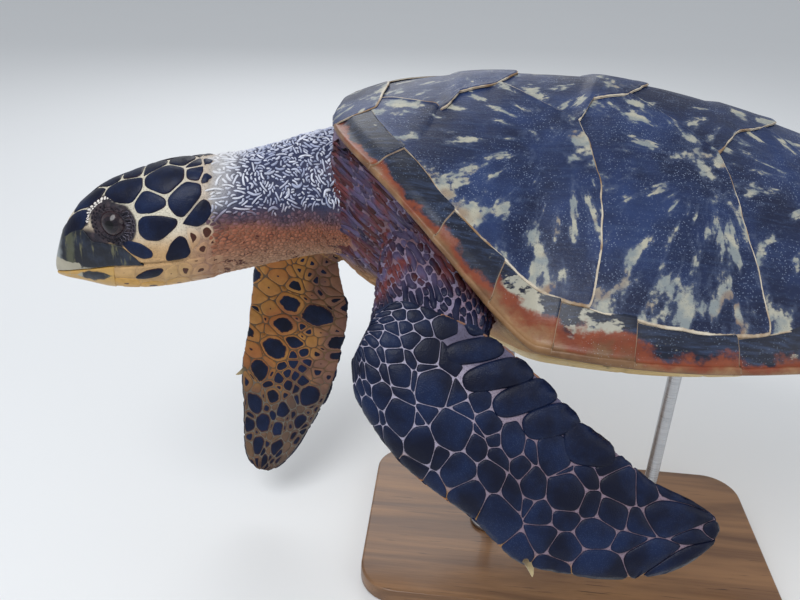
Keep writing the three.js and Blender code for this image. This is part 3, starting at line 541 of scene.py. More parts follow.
def margin_material():
    """Marginal scutes: dark horn above, red at its edge, then ochre to the rim and underneath."""
    s = Shader("margin", roughness=0.4, coat=0.05, specular=0.3)
    band = s.plus(s.value("band"), s.swing(s.noise(38, 4.0, 0.65), 26.0))
    lines = s.streaks((30, 200, 200), 4.0, 0.7)
    dark = s.mix(s.step(lines, 0.42, 0.72), (0.006, 0.009, 0.022), (0.026, 0.042, 0.090))
    smoke = s.plus(s.streaks((36, 36, 80), 4.0, 0.65), s.times(s.value("near"), 0.22))
    dots = s.times(s.step(s.spots(430), 0.28, 0.15), s.step(s.noise(30, 4.0), 0.42, 0.62))
    dark = s.mix(s.times(dots, 0.45), dark, (0.18, 0.23, 0.32))
    pale = s.mix(s.noise(50), (0.24, 0.25, 0.23), (0.42, 0.39, 0.30))
    dark = s.mix(s.step(smoke, 0.69, 0.75), dark, pale)
    tan = s.mix(s.step(s.noise(30, 4.0), 0.3, 0.7), (0.13, 0.065, 0.032), (0.29, 0.165, 0.080))
    red = s.mix(s.noise(70), (0.10, 0.02, 0.012), (0.27, 0.065, 0.025))
    red = s.mix(s.step(band, 3.0, 12.0), red, tan)
    colour = s.mix(s.step(band, -2.0, 2.5), dark, red)
    worn = s.step(s.plus(s.value("lip"), s.times(s.noise(130), 0.5)), 0.78, 1.02)
    colour = s.mix(s.times(worn, 0.8), colour, s.mix(s.noise(60), (0.10, 0.05, 0.03), (0.44, 0.33, 0.22)))
    flecks = s.times(s.step(s.spots(520), 0.14, 0.07), s.step(s.noise(22), 0.55, 0.68))
    s.colour(s.mix(flecks, colour, (0.46, 0.48, 0.50)))
    s.bump((lines, 0.0003), (s.noise(400), 0.0002))
    return s.material


# ---- Scutes ---------------------------------------------------------------------------------
OVERLAP = 4.2
TUCKED = 3.2
BORDER_POINTS = 160
LEAST_SCUTE = 60
SCUTE_STEP = 3.4
MARGIN_LAP = 6
MARGIN_REACH = 38
SHELL_END = 0.9999
CARAPACE = carapace_material()
MARGIN = margin_material()


def run_of(points):
    """A border of a scute in even steps, its bends a little rounded."""
    points = np.array(points, float)
    reach = reach_along(points)
    run = at_reach(points, reach, np.linspace(0, reach[-1], BORDER_POINTS))
    for _ in range(3):
        run[1:-1] = (run[:-2] + 2 * run[1:-1] + run[2:]) / 4
    return run


def bunched(length, spacing):
    """Shares along a side, close together near both of its ends."""
    ends = np.array([0, 0.5, 1.1, 2.0, 3.4, 5.5])
    middle = np.linspace(8, length - 8, max(int((length - 16) / spacing), 2))
    return np.concatenate([ends, middle, length - ends[::-1]]) / length


def side_of(turned, side):
    return [(x, side * y) for x, y in turned]


def lapped(borders, side_over):
    """Borders of a scute moved out where it laps over a neighbour and in where it lies under one.

    Each comes with how far it lies over its neighbour, and after them the way round that they go."""
    n = BORDER_POINTS - 1
    loop = np.vstack([borders["inner"][:-1], borders["rear"][:-1], borders["outer"][::-1][:-1],
                      borders["front"][::-1][:-1]])
    ahead, behind = np.roll(loop, -1, 0), np.roll(loop, 1, 0)
    tangent = unit(ahead - behind)
    way_round = np.sign(np.sum(loop[:, 0] * ahead[:, 1] - loop[:, 1] * ahead[:, 0]))
    outward = np.stack([tangent[:, 1], -tangent[:, 0]], -1) * way_round
    over = np.clip(outward[:, 0] * 2.4, -1, 1)
    if side_over:
        over[2 * n:3 * n] = side_over
    for _ in range(5):
        over = (np.roll(over, 1) + 2 * over + np.roll(over, -1)) / 4
        outward = unit(np.roll(outward, 1, 0) + outward + np.roll(outward, -1, 0))
    ragged = plane_noise(*loop.T, 13.0, 3)
    reach = np.where(over > 0, 1 + (OVERLAP - 1) * over + 1.5 * ragged * over, 1 - (TUCKED - 1) * over)
    loop = np.column_stack([loop + outward * reach[:, None], over])
    starts = dict(inner=(0, 1), rear=(n, 1), outer=(3 * n, -1), front=(4 * n, -1))
    places = {key: (first + way * np.arange(n + 1)) % len(loop) for key, (first, way) in starts.items()}
    return {key: loop[place] for key, place in places.items()}, way_round


def patch_between(a, b, c, d, u, v):
    """A grid between four borders: a and b run along it, c and d across its ends."""
    u, v = u[:, None, None], v[None, :, None]
    grid = lerp(a[:, None], b[:, None], v) + lerp(c[None], d[None], u)
    return grid - lerp(lerp(a[0], b[0], v), lerp(a[-1], b[-1], v), u)


def scute(name, inner, outer, front, rear, focus, side_over=0.55):
    """One horny plate: it laps over those behind it and is tucked under those before it."""
    borders = dict(inner=run_of(inner), outer=run_of(outer), front=run_of(front), rear=run_of(rear))
    long_way, wide_way = reach_along(borders["inner"])[-1], reach_along(borders["rear"])[-1]
    length, breadth = max(long_way, LEAST_SCUTE), max(wide_way, LEAST_SCUTE)
    u, v = bunched(length, SCUTE_STEP), bunched(breadth, SCUTE_STEP)
    borders, way_round = lapped(borders, side_over)
    steps = np.linspace(0, 1, BORDER_POINTS)

    def sample(key, shares):
        return np.column_stack([np.interp(shares, steps, values) for values in borders[key].T])

    a, b = sample("inner", u), sample("outer", u)
    grid = patch_between(a, b, sample("front", v), sample("rear", v), u, v)
    x, y, weight = grid[..., 0], grid[..., 1], np.clip(grid[..., 2], -1, 1)
    du = np.minimum(u, 1 - u)[:, None] * length
    dv = np.minimum(v, 1 - v)[None] * breadth
    edge = np.minimum(du, dv)
    growth = np.sin(np.minimum(np.minimum(du * 1.3, dv), 60) * 0.9) * 0.11 * smoothstep(edge, 2, 8)
    near_edge = 1 - smoothstep(edge, 0, 2.2)
    swell = 0.9 * plane_noise(x, y, 46.0, 2)
    top = 1.0 + 1.5 * weight + swell * smoothstep(edge, 0, 12) + growth
    top = top + 0.5 * np.maximum(weight, 0) * (1 - smoothstep(edge, 1, 7)) - 1.1 * near_edge ** 2
    thick = 1.5 + 1.8 * smoothstep(edge, 0, 10)
    z = dome(x, y)
    upper = np.stack([x, y, z + top], -1)
    lower = np.stack([x, y, z + top - thick + 0.4 * near_edge], -1)
    points, faces = slab(upper, lower, way_round < 0)
    piece = make("horn_" + name, points, faces, CARAPACE, "scute")
    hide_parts(name)
    centre = lerp(lerp(a[0], b[0], focus[1]), lerp(a[-1], b[-1], focus[1]), focus[0])[:2]
    away = np.stack([x, y], -1) - centre
    angle = np.arctan2(-away[..., 1], -away[..., 0]) - math.pi
    own = sum(map(ord, name)) % 97
    radius = np.linalg.norm(away, axis=-1)
    fan = np.stack([angle * 75, radius, np.full(x.shape, own * 3.7)], -1).reshape(-1, 3)
    lip = (1 - smoothstep(edge, 0.4, 1.7)) * smoothstep(weight, 0.1, 0.5)
    near = np.exp(-(1 - u[:, None]) * long_way / 26)
    near = near + 0.8 * np.exp(-(1 - v[None]) * wide_way / 34) * bool(side_over)
    give(piece, "fan", np.vstack([fan, fan]))
    give(piece, "lip", np.tile(lip.ravel(), 2))
    give(piece, "near", np.tile(np.clip(near, 0, 1).ravel(), 2))
    shares = np.column_stack([np.repeat(u, len(v)), np.tile(v, len(u))])
    give_map(piece, np.vstack([shares * (0.9, 0.66) + (0.05, 0.02), shares * (0.9, 0.2) + (0.05, 0.75)]))


def vertebral(i):
    start = VERTEBRALS[i - 1]["join"] if i else NUCHAL_CORNER
    tip = VERTEBRALS[i - 1]["tip"] if i else NUCHAL_REAR
    last = i == len(VERTEBRALS)
    sides = []
    for side in (-1, 1):
        if last:
            sides.append(side_of([start, LAST_APEX], side) + [tuple(inner_seam(LAST_CORNER_AT, side))])
        else:
            sides.append(side_of([start] + [VERTEBRALS[i][key] for key in ("apex", "notch", "join")], side))
    if last:
        rear = [*seam_run(LAST_CORNER_AT, SHELL_END, -1), *seam_run(SHELL_END, LAST_CORNER_AT, 1)[1:]]
    else:
        rear = [sides[0][-1], VERTEBRALS[i]["tip"], sides[1][-1]]
    front = [sides[0][0], tip, sides[1][0]]
    scute(f"vertebral_{i + 1}", sides[0], sides[1], front, rear, (0.98, 0.5), 0)


def costal(i, side, word):
    def seam(apex, bends, end):
        return side_of([apex] + bends, side) + [tuple(inner_seam(end, side))]

    apexes = [NUCHAL_CORNER] + [own["apex"] for own in VERTEBRALS[1:]] + [LAST_APEX]
    ends = [MARGIN_ENDS[0]] + [own["ends_at"] for own in COSTAL_SEAMS] + [LAST_CORNER_AT]
    bends = [[]] + [own["bends"] for own in COSTAL_SEAMS] + [[]]
    inner = [VERTEBRALS[i][key] for key in ("apex", "notch", "join")] + [apexes[i + 1]]
    inner = side_of(inner if i else [NUCHAL_CORNER] + inner, side)
    front, rear = (seam(apexes[k], bends[k], ends[k]) for k in (i, i + 1))
    scute(f"costal_{word}_{i + 1}", inner, seam_run(ends[i], ends[i + 1], side), front, rear, (0.93, 0.15))


def nuchal():
    seam = [tuple(inner_seam(MARGIN_ENDS[0], side)) for side in (-1, 1)]
    rim = [tuple(rim_point(MARGIN_ENDS[0], 0, side)) for side in (-1, 1)]
    front = [rim[0], (4, -32), (7, 0), (4, 32), rim[1]]
    rear = [seam[0], *side_of([NUCHAL_CORNER], -1), NUCHAL_REAR, NUCHAL_CORNER, seam[1]]
    scute("nuchal", [rim[0], seam[0]], [rim[1], seam[1]], front, rear, (0.9, 0.5), 0)


# How far the dark horn reaches towards the rim of each marginal, as a share of the way.
DARK_REACH = [0.8, 0.72, 0.62, 0.42, 0.46, 0.66, 0.74, 0.86, 0.9, 0.92, 0.94, 0.96]


def marginal_rings(i, side, share, run, over):
    """Sections across a scute of the rim, each from its inner edge over the rim and back below.

    After them, how far each point is from the inner edge to the rim, and the scute's breadth."""
    start, end = MARGIN_ENDS[i], MARGIN_ENDS[i + 1]
    last = end == 1
    t = lerp(start, end - (0.0004 if last else 0), share)
    if not last:
        t = t + (end - start) * 3.0 / run * smoothstep(share, 0.55, 1)
    if i:
        t = t - (end - start) * 2.0 / run * (1 - smoothstep(share, 0, 0.45))
    breadth = along(MARGIN_BREADTH, t)
    under = np.maximum(breadth + MARGIN_LAP, MARGIN_REACH)
    rim = rim_height(t)
    jut = SERRATION * smoothstep(t, 0.55, 0.8) * (0.1 + 0.9 * share ** 2) * (0.3 if last else 1)
    near_end = 1 - smoothstep(np.minimum(share, 1 - share) * run, 0, 2.2)
    lift = 0.6 + 1.0 * over - 0.9 * near_end ** 2
    rows, tags = [], []

    def add(inward, height, tag):
        plan = rim_point(t, inward, side)
        rows.append(np.column_stack([plan, height(*plan.T) if callable(height) else height]))
        tags.append(np.full(len(t), tag))

    for s in np.concatenate([[-0.08, -0.03], np.linspace(0, 0.9, 14), [0.95, 0.985]]):
        def over_dome(x, y):
            sunk = 1.3 if s < 0 else 0.0
            return lerp(dome(x, y), rim, smoothstep(s, 0.55, 1)) + (lift + 0.8 * s) - sunk
        add(breadth * (1 - s) - jut * smoothstep(s, 0, 1), over_dome, s)
    for angle in np.linspace(0.1, 0.9, 7) * math.pi:
        z = rim + 1.4 + lift * (0.5 + 0.5 * math.cos(angle)) + (RIM_THICKNESS / 2) * (math.cos(angle) - 1)
        add(-jut - 2.4 * math.sin(angle), z, 1 + 0.1 * angle)
    for s in np.linspace(0.05, 1, 9):
        z = rim - RIM_THICKNESS + 1.2 - 2.8 * smoothstep(s, 0.2, 1) - 0.3 * over
        add(lerp(-jut, under, s), z, 1.4 + s)
    lowest = rows[-1][:, 2]
    for depth in (0.3, 0.7):
        add(under - (under - breadth * 1.03) * depth, lerp(lowest, rows[0][:, 2], depth), 2.5)
    rings = np.stack(rows, 1)
    if last:
        rings[..., 1] = side * np.maximum(side * rings[..., 1], 0.15)
    return rings, np.stack(tags, 1).ravel(), breadth


def marginal(i, side, name):
    run = max(np.linalg.norm(np.subtract(*(rim_point(MARGIN_ENDS[k], 12, side) for k in (i, i + 1)))), 40)
    share = bunched(run, 3.6)
    over = smoothstep(share, 0.5, 1) - (1 - smoothstep(share, 0, 0.3)) * (i > 0)
    rings, tag, breadth = marginal_rings(i, side, share, run, over)
    points, faces = closed(rings)
    if side < 0:
        faces = [face[::-1] for face in faces]
    piece = make("horn_" + name, points, faces, MARGIN, "scute")
    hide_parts(name)
    sections, columns = rings.shape[:2]
    tag = np.concatenate([tag, [1.0, 1.0]])
    wide = np.concatenate([np.repeat(breadth, columns), [40, 40]])
    place = np.concatenate([np.repeat(share, columns), [0, 1]])
    bend = DARK_REACH[i] + 0.10 * np.sin(place * math.pi) - 0.12 * (place < 0.2) * (0.2 - place) * 5
    lip = (1 - smoothstep(run - place * run, 0.3, 1.4)) * (tag < 1.35) * 0.8
    give(piece, "band", (tag - bend) * wide)
    give(piece, "lip", lip)
    give(piece, "near", np.clip(1.2 - np.abs(place - 0.5) * 2.2, 0, 1) * (i in (3, 4)) + 0.25)
    around = np.concatenate([np.tile(np.linspace(0.02, 0.98, columns), sections), [0.5, 0.5]])
    give_map(piece, np.column_stack([0.04 + 0.92 * place, around]))


nuchal()
for number in range(5):
    vertebral(number)
SIDES = (("left", -1), ("right", 1))
for word, side in SIDES:
    for number in range(4):
        costal(number, side, word)
    for number in range(11):
        marginal(number, side, f"marginal_{word}_{number + 1}")
    marginal(11, side, f"supracaudal_{word}")


# ---- Forms of the flesh ---------------------------------------------------------------------
COAT = 1.0
LENS_POWER = 0.6
LENS_LEAN = 0.45
LENS_PEAK = 1.16
LENS_EDGE = 2
HEAD_MIDDLE = 0.45
HEAD_SIDE_POWER = 0.88
HEAD_TOP_POWER = 0.92
TRUNK_START = 3
TRUNK_LEAST_DEPTH = 6
TUCK_FROM = 0.76
TUCK_TO = 0.94
NAPE = (40, 90)
NAPE_DROP = 5
ACROSS = (0, 1, 0)
LEFT_FLAT = (1, 0, 0)
RIGHT_FLAT = (-1, 0, 1)


def on_neck(points):
    """Points given from the neck joint, x towards the beak, as points of the shell frame."""
    turn = math.radians(180 + HEAD_TURN)
    c, s = math.cos(turn), math.sin(turn)
    x, y, z = np.moveaxis(np.asarray(points, float), -1, 0)
    return np.stack([x * c - y * s, x * s + y * c, z], -1) + HEAD_JOINT


def off_neck(points):
    """The reverse of on_neck."""
    turn = math.radians(180 + HEAD_TURN)
    c, s = math.cos(turn), math.sin(turn)
    x, y, z = np.moveaxis(np.asarray(points, float) - HEAD_JOINT, -1, 0)
    return np.stack([x * c + y * s, y * c - x * s, z], -1)


def head_point(at, turn, grow=0.0):
    """Outside of the head: turn is 0 at the crown, pi at the chin, positive on the left."""
    at, turn = np.broadcast_arrays(np.asarray(at, float), np.asarray(turn, float))
    half = along(column(HEAD, 1), at) + grow
    top = along(column(HEAD, 2), at) + grow
    bottom = along(column(HEAD, 3), at) - grow
    middle = lerp(bottom, top, HEAD_MIDDLE)
    c, s = np.sin(turn), np.cos(turn)
    across = np.sign(c) * np.abs(c) ** HEAD_SIDE_POWER * half
    z = middle + np.sign(s) * np.abs(s) ** HEAD_TOP_POWER * np.where(s > 0, top - middle, middle - bottom)
    return np.stack([at, across, z], -1)


def blade_frame(shape):
    """Root of a blade, and the ways along it, to its leading edge and to its upper face."""
    root = np.array(shape["root"], float)
    forward = unit(np.array(shape["tip"]) - root)
    leading = np.array(shape["leading"], float)
    leading = unit(leading - forward * leading.dot(forward))
    return root, forward, leading, np.cross(forward, leading)


def dip_at(shape, at):
    """How far a blade's middle line has bent towards its upper face at a distance along it."""
    return shape["dip"] * (at / (shape["stations"][-1][0] + 1)) ** 2


def blade_point(shape, at, share, face, grow):
    """Outside of a blade; share runs from -1 at the trailing edge to 1 at the leading edge."""
    at, share = np.broadcast_arrays(np.asarray(at, float), np.asarray(share, float))
    root, forward, leading, upper = blade_frame(shape)
    stations = shape["stations"]
    full = np.maximum(1 - share ** 2, 0) ** LENS_POWER * (1 + LENS_LEAN * share) / LENS_PEAK
    lift = np.maximum(along(column(stations, 2), at) / 2 * full, LENS_EDGE - 0.5 * grow) + grow
    aside = along(shape["bow"], at) + share * (along(column(stations, 1), at) + grow)
    rise = face * lift + dip_at(shape, at)
    return root + at[..., None] * forward + aside[..., None] * leading + rise[..., None] * upper


def tube_point(table, flat, s, turn, grow):
    """Outside of a neck, arm or tail: s counts its stations, turn goes round it."""
    s, turn = np.broadcast_arrays(np.asarray(s, float), np.asarray(turn, float))

    def at(k, where):
        return along([(number, row[k]) for number, row in enumerate(table)], where)

    def middle(where):
        where = np.clip(where, 0, len(table) - 1)
        return np.stack([at(k, where) for k in (0, 1, 2)], -1)

    run = unit(middle(s + 0.3) - middle(s - 0.3))
    breadth = np.array(flat, float)
    breadth = unit(breadth - run * (run @ breadth)[..., None])
    height = np.cross(run, breadth)
    half, tall = at(3, s) + grow, at(4, s) + grow
    return middle(s) + breadth * (half * np.cos(turn))[..., None] + height * (tall * np.sin(turn))[..., None]


def trunk_rings(grow):
    rings = []
    shares = np.sin(np.linspace(-0.5, 0.5, 61) * math.pi)
    for t in np.concatenate([[0.0], np.linspace(0.012, 0.95, 66)]):
        x = max(t * SHELL_LENGTH, TRUNK_START)
        y = shares * (along(TRUNK_BREADTH, t) + grow)
        low = belly(x, y)
        inward = np.abs(y) / rim_half(max(t, 0.01))
        high = dome(x, y) - UNDER_SCUTES - TUCK * smoothstep(inward, TUCK_FROM, TUCK_TO)
        high = np.maximum(high - NAPE_DROP * smoothstep(x, *NAPE), low + TRUNK_LEAST_DEPTH)
        x = np.full(len(y), x)
        top, bottom = np.column_stack([x, y, high + grow]), np.column_stack([x, y, low - grow])
        rings.append(np.vstack([top, bottom[::-1]]))
    return np.stack(rings)


def blade_rings(shape, grow):
    stations = shape["stations"]
    first, last, end = (stations[k][0] for k in (0, -2, -1))
    at = np.concatenate([np.linspace(first, last, 60), [end - 2, end]])
    shares = np.sin(np.linspace(-0.5, 0.5, 33) * math.pi)
    above = blade_point(shape, at[:, None], shares[None], 1, grow)
    below = blade_point(shape, at[:, None], shares[None, ::-1], -1, grow)
    return np.concatenate([above, below], 1)


def tube_rings(table, flat, grow, short=0.0):
    s = np.linspace(0, len(table) - 1 - short, 40)
    turn = np.linspace(0, 2 * math.pi, 56, endpoint=False)
    return tube_point(table, flat, s[:, None], turn[None], grow)


def head_rings(grow):
    at = np.concatenate([np.linspace(0, 150, 60), np.linspace(152, 169, 14)])
    turn = np.linspace(-math.pi, math.pi, 72, endpoint=False)
    return on_neck(head_point(at[:, None], turn[None], grow))


FORMS = dict(
    trunk=trunk_rings(-COAT), neck=tube_rings(NECK, ACROSS, -COAT), head=head_rings(-COAT),
    tail=tube_rings(TAIL, ACROSS, -COAT), arm_left=tube_rings(LEFT_ARM, LEFT_FLAT, -COAT, short=1.0),
    arm_right=tube_rings(RIGHT_ARM, RIGHT_FLAT, -COAT, short=0.5), blade_left=blade_rings(LEFT_BLADE, -COAT),
    blade_right=blade_rings(RIGHT_BLADE, -COAT), paddle_left=blade_rings(LEFT_PADDLE, -COAT),
    paddle_right=blade_rings(RIGHT_PADDLE, -COAT))
FORM_NAMES = list(FORMS)


# ---- Skin -----------------------------------------------------------------------------------
SKIN_VOXEL = 0.0017
SKIN_FACES = 192000


def skin_material():
    """Skin between the scales: its own tone everywhere, pored and mottled."""
    s = Shader("skin", roughness=0.62, specular=0.4)
    colour = s.shaded(s.vector("tone"), s.plus(s.times(s.noise(60, 4.0), 0.7), 0.62))
    pores = s.step(s.spots(650), 0.1, 0.5)
    s.colour(s.mix(s.times(s.math("SUBTRACT", 1.0, pores), 0.35), colour, (0.05, 0.03, 0.03)))
    s.rough(s.noise(90, 2.0), 0.25, 0.48)
    s.bump((pores, 0.0003), (s.noise(900), 0.0002))
    return s.material


def use_modifiers(piece):
    """Turn a piece's modifiers into its mesh."""
    graph = bpy.context.evaluated_depsgraph_get()
    mesh = bpy.data.meshes.new_from_object(piece.evaluated_get(graph))
    piece.modifiers.clear()
    old = piece.data
    piece.data = mesh
    bpy.data.meshes.remove(old)
    piece.data.name = piece.name


def blurred(values, edges, times):
    """Values at the points of a mesh, each evened with its neighbours."""
    values = np.array(values, float)
    flat = values.reshape(len(values), -1)
    a, b = edges.T
    degree = np.bincount(a, minlength=len(flat)) + np.bincount(b, minlength=len(flat)) + 1.0
    for _ in range(times):
        total = flat.copy()
        for k in range(flat.shape[1]):
            total[:, k] += np.bincount(a, flat[b, k], len(flat)) + np.bincount(b, flat[a, k], len(flat))
        flat = total / degree[:, None]
    return flat.reshape(values.shape)


def joined_forms():
    points, faces = [], []
    for rings in FORMS.values():
        p, f = closed(rings)
        start = sum(map(len, points))
        points.append(p)
        faces += [tuple(start + k for k in face) for face in f]
    return np.vstack(points), faces


def even(piece, voxel, factor, times):
    """A piece remade from even quads and smoothed."""
    remesh = piece.modifiers.new("remesh", "REMESH")
    remesh.mode = "VOXEL"
    remesh.voxel_size = voxel
    smoothing = piece.modifiers.new("smooth", "SMOOTH")
    smoothing.factor = factor
    smoothing.iterations = times
    use_modifiers(piece)


def raw_skin(material):
    points, faces = joined_forms()
    piece = make("skin", points, faces, material, "skin")
    even(piece, SKIN_VOXEL * (1), 0.6, 8)
    head = off_neck(shell_points(piece.data))
    group = piece.vertex_groups.new(name="may_thin")
    group.add(np.nonzero(head[:, 0] < -8)[0].tolist(), 1.0, "REPLACE")
    fewer = piece.modifiers.new("fewer", "DECIMATE")
    fewer.ratio = min(1.0, SKIN_FACES / (2 * len(piece.data.polygons)))
    fewer.vertex_group = group.name
    use_modifiers(piece)
    piece.vertex_groups.clear()
    return piece


SKIN = skin_material()
skin = raw_skin(SKIN)


def nearest_forms(where):
    """For each point, the form whose surface is nearest to it."""
    grids = [rings.reshape(-1, 3) for rings in FORMS.values()]
    owner = np.repeat(np.arange(len(grids)), [len(grid) for grid in grids])
    tree = tree_of(np.vstack(grids))
    return owner[[tree.find(point)[1] for point in where]]


def crease(phase, sharp=0.62):
    """1 in the narrow valleys between rounded folds, a fold to each whole step of phase."""
    return smoothstep(np.abs(2 * (phase - np.floor(phase)) - 1), sharp, 1)


def mouth_distance(head):
    """How far points of the head lie from the line of the mouth, seen from the side."""
    best = np.full(len(head), 1e9)
    for a, b in zip(MOUTH, MOUTH[1:]):
        run = np.subtract(b, a)
        from_start = head[:, [0, 2]] - a
        share = np.clip((from_start * run).sum(1) / (run @ run), 0, 1)
        best = np.minimum(best, np.hypot(*(from_start - share[:, None] * run).T))
    return best


NECK_LEVEL = 36
EYE_AXIS = unit((0.30, 0.94, 0.14))
EYE_UPRIGHT = np.array([-0.16, 0, 1])
EYE_UP = unit(EYE_UPRIGHT - EYE_AXIS * (EYE_UPRIGHT @ EYE_AXIS))
EYE_ONWARD = np.cross(EYE_AXIS, EYE_UP)
EYE_GAP = 3.5
EYE_OPENING = (15.0, 12.2)
# The pale scales on the brow, from before the eye to above it, as places on the head.
BROW = [(128.6, 23.3, 16.6), (127, 21, 22.7), (123.4, 20, 29), (118, 19.7, 34.7), (111, 20.4, 40),
        (104, 22, 43), (98, 25.3, 44), (93, 29, 41.5)]
LID = 1.8


def to_left(head):
    """Points of the head carried over to its left side, and the signs that carry them back."""
    flip = np.ones(head.shape)
    flip[:, 1] = np.where(head[:, 1] < 0, -1.0, 1.0)
    return head * flip, flip


def eye_view(head):
    """Places round an eye: along and up its opening, and out of it, in millimetres."""
    from_eye = to_left(head)[0] - EYE_AT
    return from_eye @ EYE_ONWARD, from_eye @ EYE_UP, from_eye @ EYE_AXIS


def opening(a, b):
    """Less than 1 within the gap between the lids."""
    return np.sqrt((a / EYE_OPENING[0]) ** 2 + (b / EYE_OPENING[1]) ** 2 + 0.25 * np.abs(a * b) / 140)


def lids(head):
    """Points of the head moved so that two lids close over the eyeball and leave its gap open."""
    left, flip = to_left(head)
    a, b, out = eye_view(head)
    from_eye = left - EYE_AT
    radius = np.linalg.norm(from_eye, axis=1)
    near = (out > 4) & (radius < 2 * EYE_RADIUS)
    gap = opening(a, b)
    lid_radius = EYE_RADIUS + LID + 1.0 * bell(gap - 1.12, 0.16)
    share = np.where(gap < 1, 1.0, 1 - smoothstep(np.hypot(a, b), 15, 27))
    target = lerp(radius, np.where(gap < 1, EYE_RADIUS - EYE_GAP, lid_radius), share)
    moved = EYE_AT + from_eye / np.maximum(radius, 1)[:, None] * target[:, None]
    return np.where(near[:, None], moved * flip, head)


def brow_distance(head):
    """How far points of the head lie from the row of places on either brow."""
    brow = np.array(BROW)
    places = [lerp(p, q, t) for p, q in zip(brow, brow[1:]) for t in (0, 0.5)]
    both = (head, head * (1, -1, 1))
    return np.min([np.linalg.norm(points - place, axis=1) for points in both for place in places], 0)


def facing(shape, normal, upwards):
    """From 0 to 1 as a blade's skin turns to its back."""
    return smoothstep(normal @ blade_frame(shape)[3] * upwards, -0.75, -0.3)


def blade_place(shape, where):
    """Distance along a blade and share of its half breadth for points on it."""
    root, forward, leading, _ = blade_frame(shape)
    at = (where - root) @ forward
    aside = (where - root) @ leading - along(shape["bow"], at)
    return at, aside / along(column(shape["stations"], 1), at)


def blend(share, a, b):
    return lerp(np.asarray(a, float), np.asarray(b, float), np.asarray(share)[..., None])


def neck_height(points):
    """How far up the side of the neck points lie, from the level where its pale ridges end."""
    return points[:, 2] - NECK_LEVEL + 9 * fractal(points, 22, 3)


def head_skin(head, mottle, fine):
    top = smoothstep(head[:, 2] + 5 * mottle, -10, 30)
    face = blend(top, (0.48, 0.30, 0.14), (0.62, 0.58, 0.47))
    under = smoothstep(-head[:, 2] + 4 * mottle, 34, 58) * smoothstep(head[:, 0], -20, 40)
    face = blend(under, face, (0.52, 0.29, 0.07))
    behind = 1 - smoothstep(head[:, 0], 0, 40)
    face = blend(behind * (1 - 0.6 * top), face, (0.36, 0.20, 0.13))
    a, b, out = eye_view(head)
    far = np.hypot(a * 0.88, b) + 1.2 * mottle - 2.0 * smoothstep(a, 0, 16) * smoothstep(b, -6, 6)
    round_eye = (1 - smoothstep(far - 2.5 * smoothstep(-a, 0, 14), 21, 23)) * (out > 0)
    round_eye = np.maximum(round_eye, 1 - smoothstep(brow_distance(head), 3.4, 4.8))
    cheek = smoothstep(-head[:, 2], -15, -6) * smoothstep(head[:, 2], -26, -18)
    cheek = smoothstep(head[:, 0], 101, 108) * cheek
    dusk = blend(smoothstep(fine, -0.2, 0.4), (0.010, 0.009, 0.018), (0.042, 0.029, 0.038))
    return blend(np.maximum(round_eye, cheek), face, dusk)


def neck_skin(where, mottle, fine):
    x, _, z = where.T
    height = neck_height(where)
    low = blend(smoothstep(-height, 26, 78), (0.24, 0.095, 0.055), (0.42, 0.26, 0.16))
    # Painted shade: the skin colour is darkened in the valleys between the diagonal folds at the base of the
    # neck.
    fold_valley_shade = crease((x + 0.5 * z + 14 * fractal(where, 42, 2)) / 15, 0.5) * smoothstep(x, -75, -30)
    low = low * (1 - 0.55 * fold_valley_shade)[:, None]
    low = blend(smoothstep(fine + 0.35 * mottle, 0.22, 0.42), low, (0.09, 0.025, 0.02))
    violet = blend(smoothstep(mottle, -0.3, 0.5), (0.075, 0.04, 0.065), (0.035, 0.03, 0.06))
    at_head = (1 - smoothstep(x, -118, -82)) * smoothstep(height, -4, 22)
    dark = blend(at_head, (0.018, 0.026, 0.078), (0.46, 0.46, 0.48))
    return blend(smoothstep(height, -6, 10), blend(smoothstep(height, -22, -4), low, violet), dark)


def blade_skin(shape, upwards, knuckled, where, normal, mottle):
    at, share = blade_place(shape, where)
    back = blend(smoothstep(at + 20 * mottle, 20, 170), (0.37, 0.35, 0.46), (0.20, 0.145, 0.19))
    edge = smoothstep(share + 0.1 * mottle, 0.78, 0.96) * smoothstep(at, 30, 90)
    back = blend(edge, back, (0.36, 0.19, 0.07))
    # Painted shade: dark skin in the gaps between the domes along the trailing edge of a front flipper's
    # back.
    if knuckled:
        dome_gap_shade = smoothstep(-share, 0.5, 0.68) * smoothstep(at, 30, 50) * (1 - smoothstep(at, 200, 225))
        back = blend(dome_gap_shade, back, (0.085, 0.075, 0.13))
    front = blend(smoothstep(mottle, -0.5, 0.5), (0.17, 0.10, 0.045), (0.11, 0.065, 0.04))
    front = blend(smoothstep(at, 160, 230), front, (0.15, 0.14, 0.12))
    return blend(facing(shape, normal, upwards), front, back)


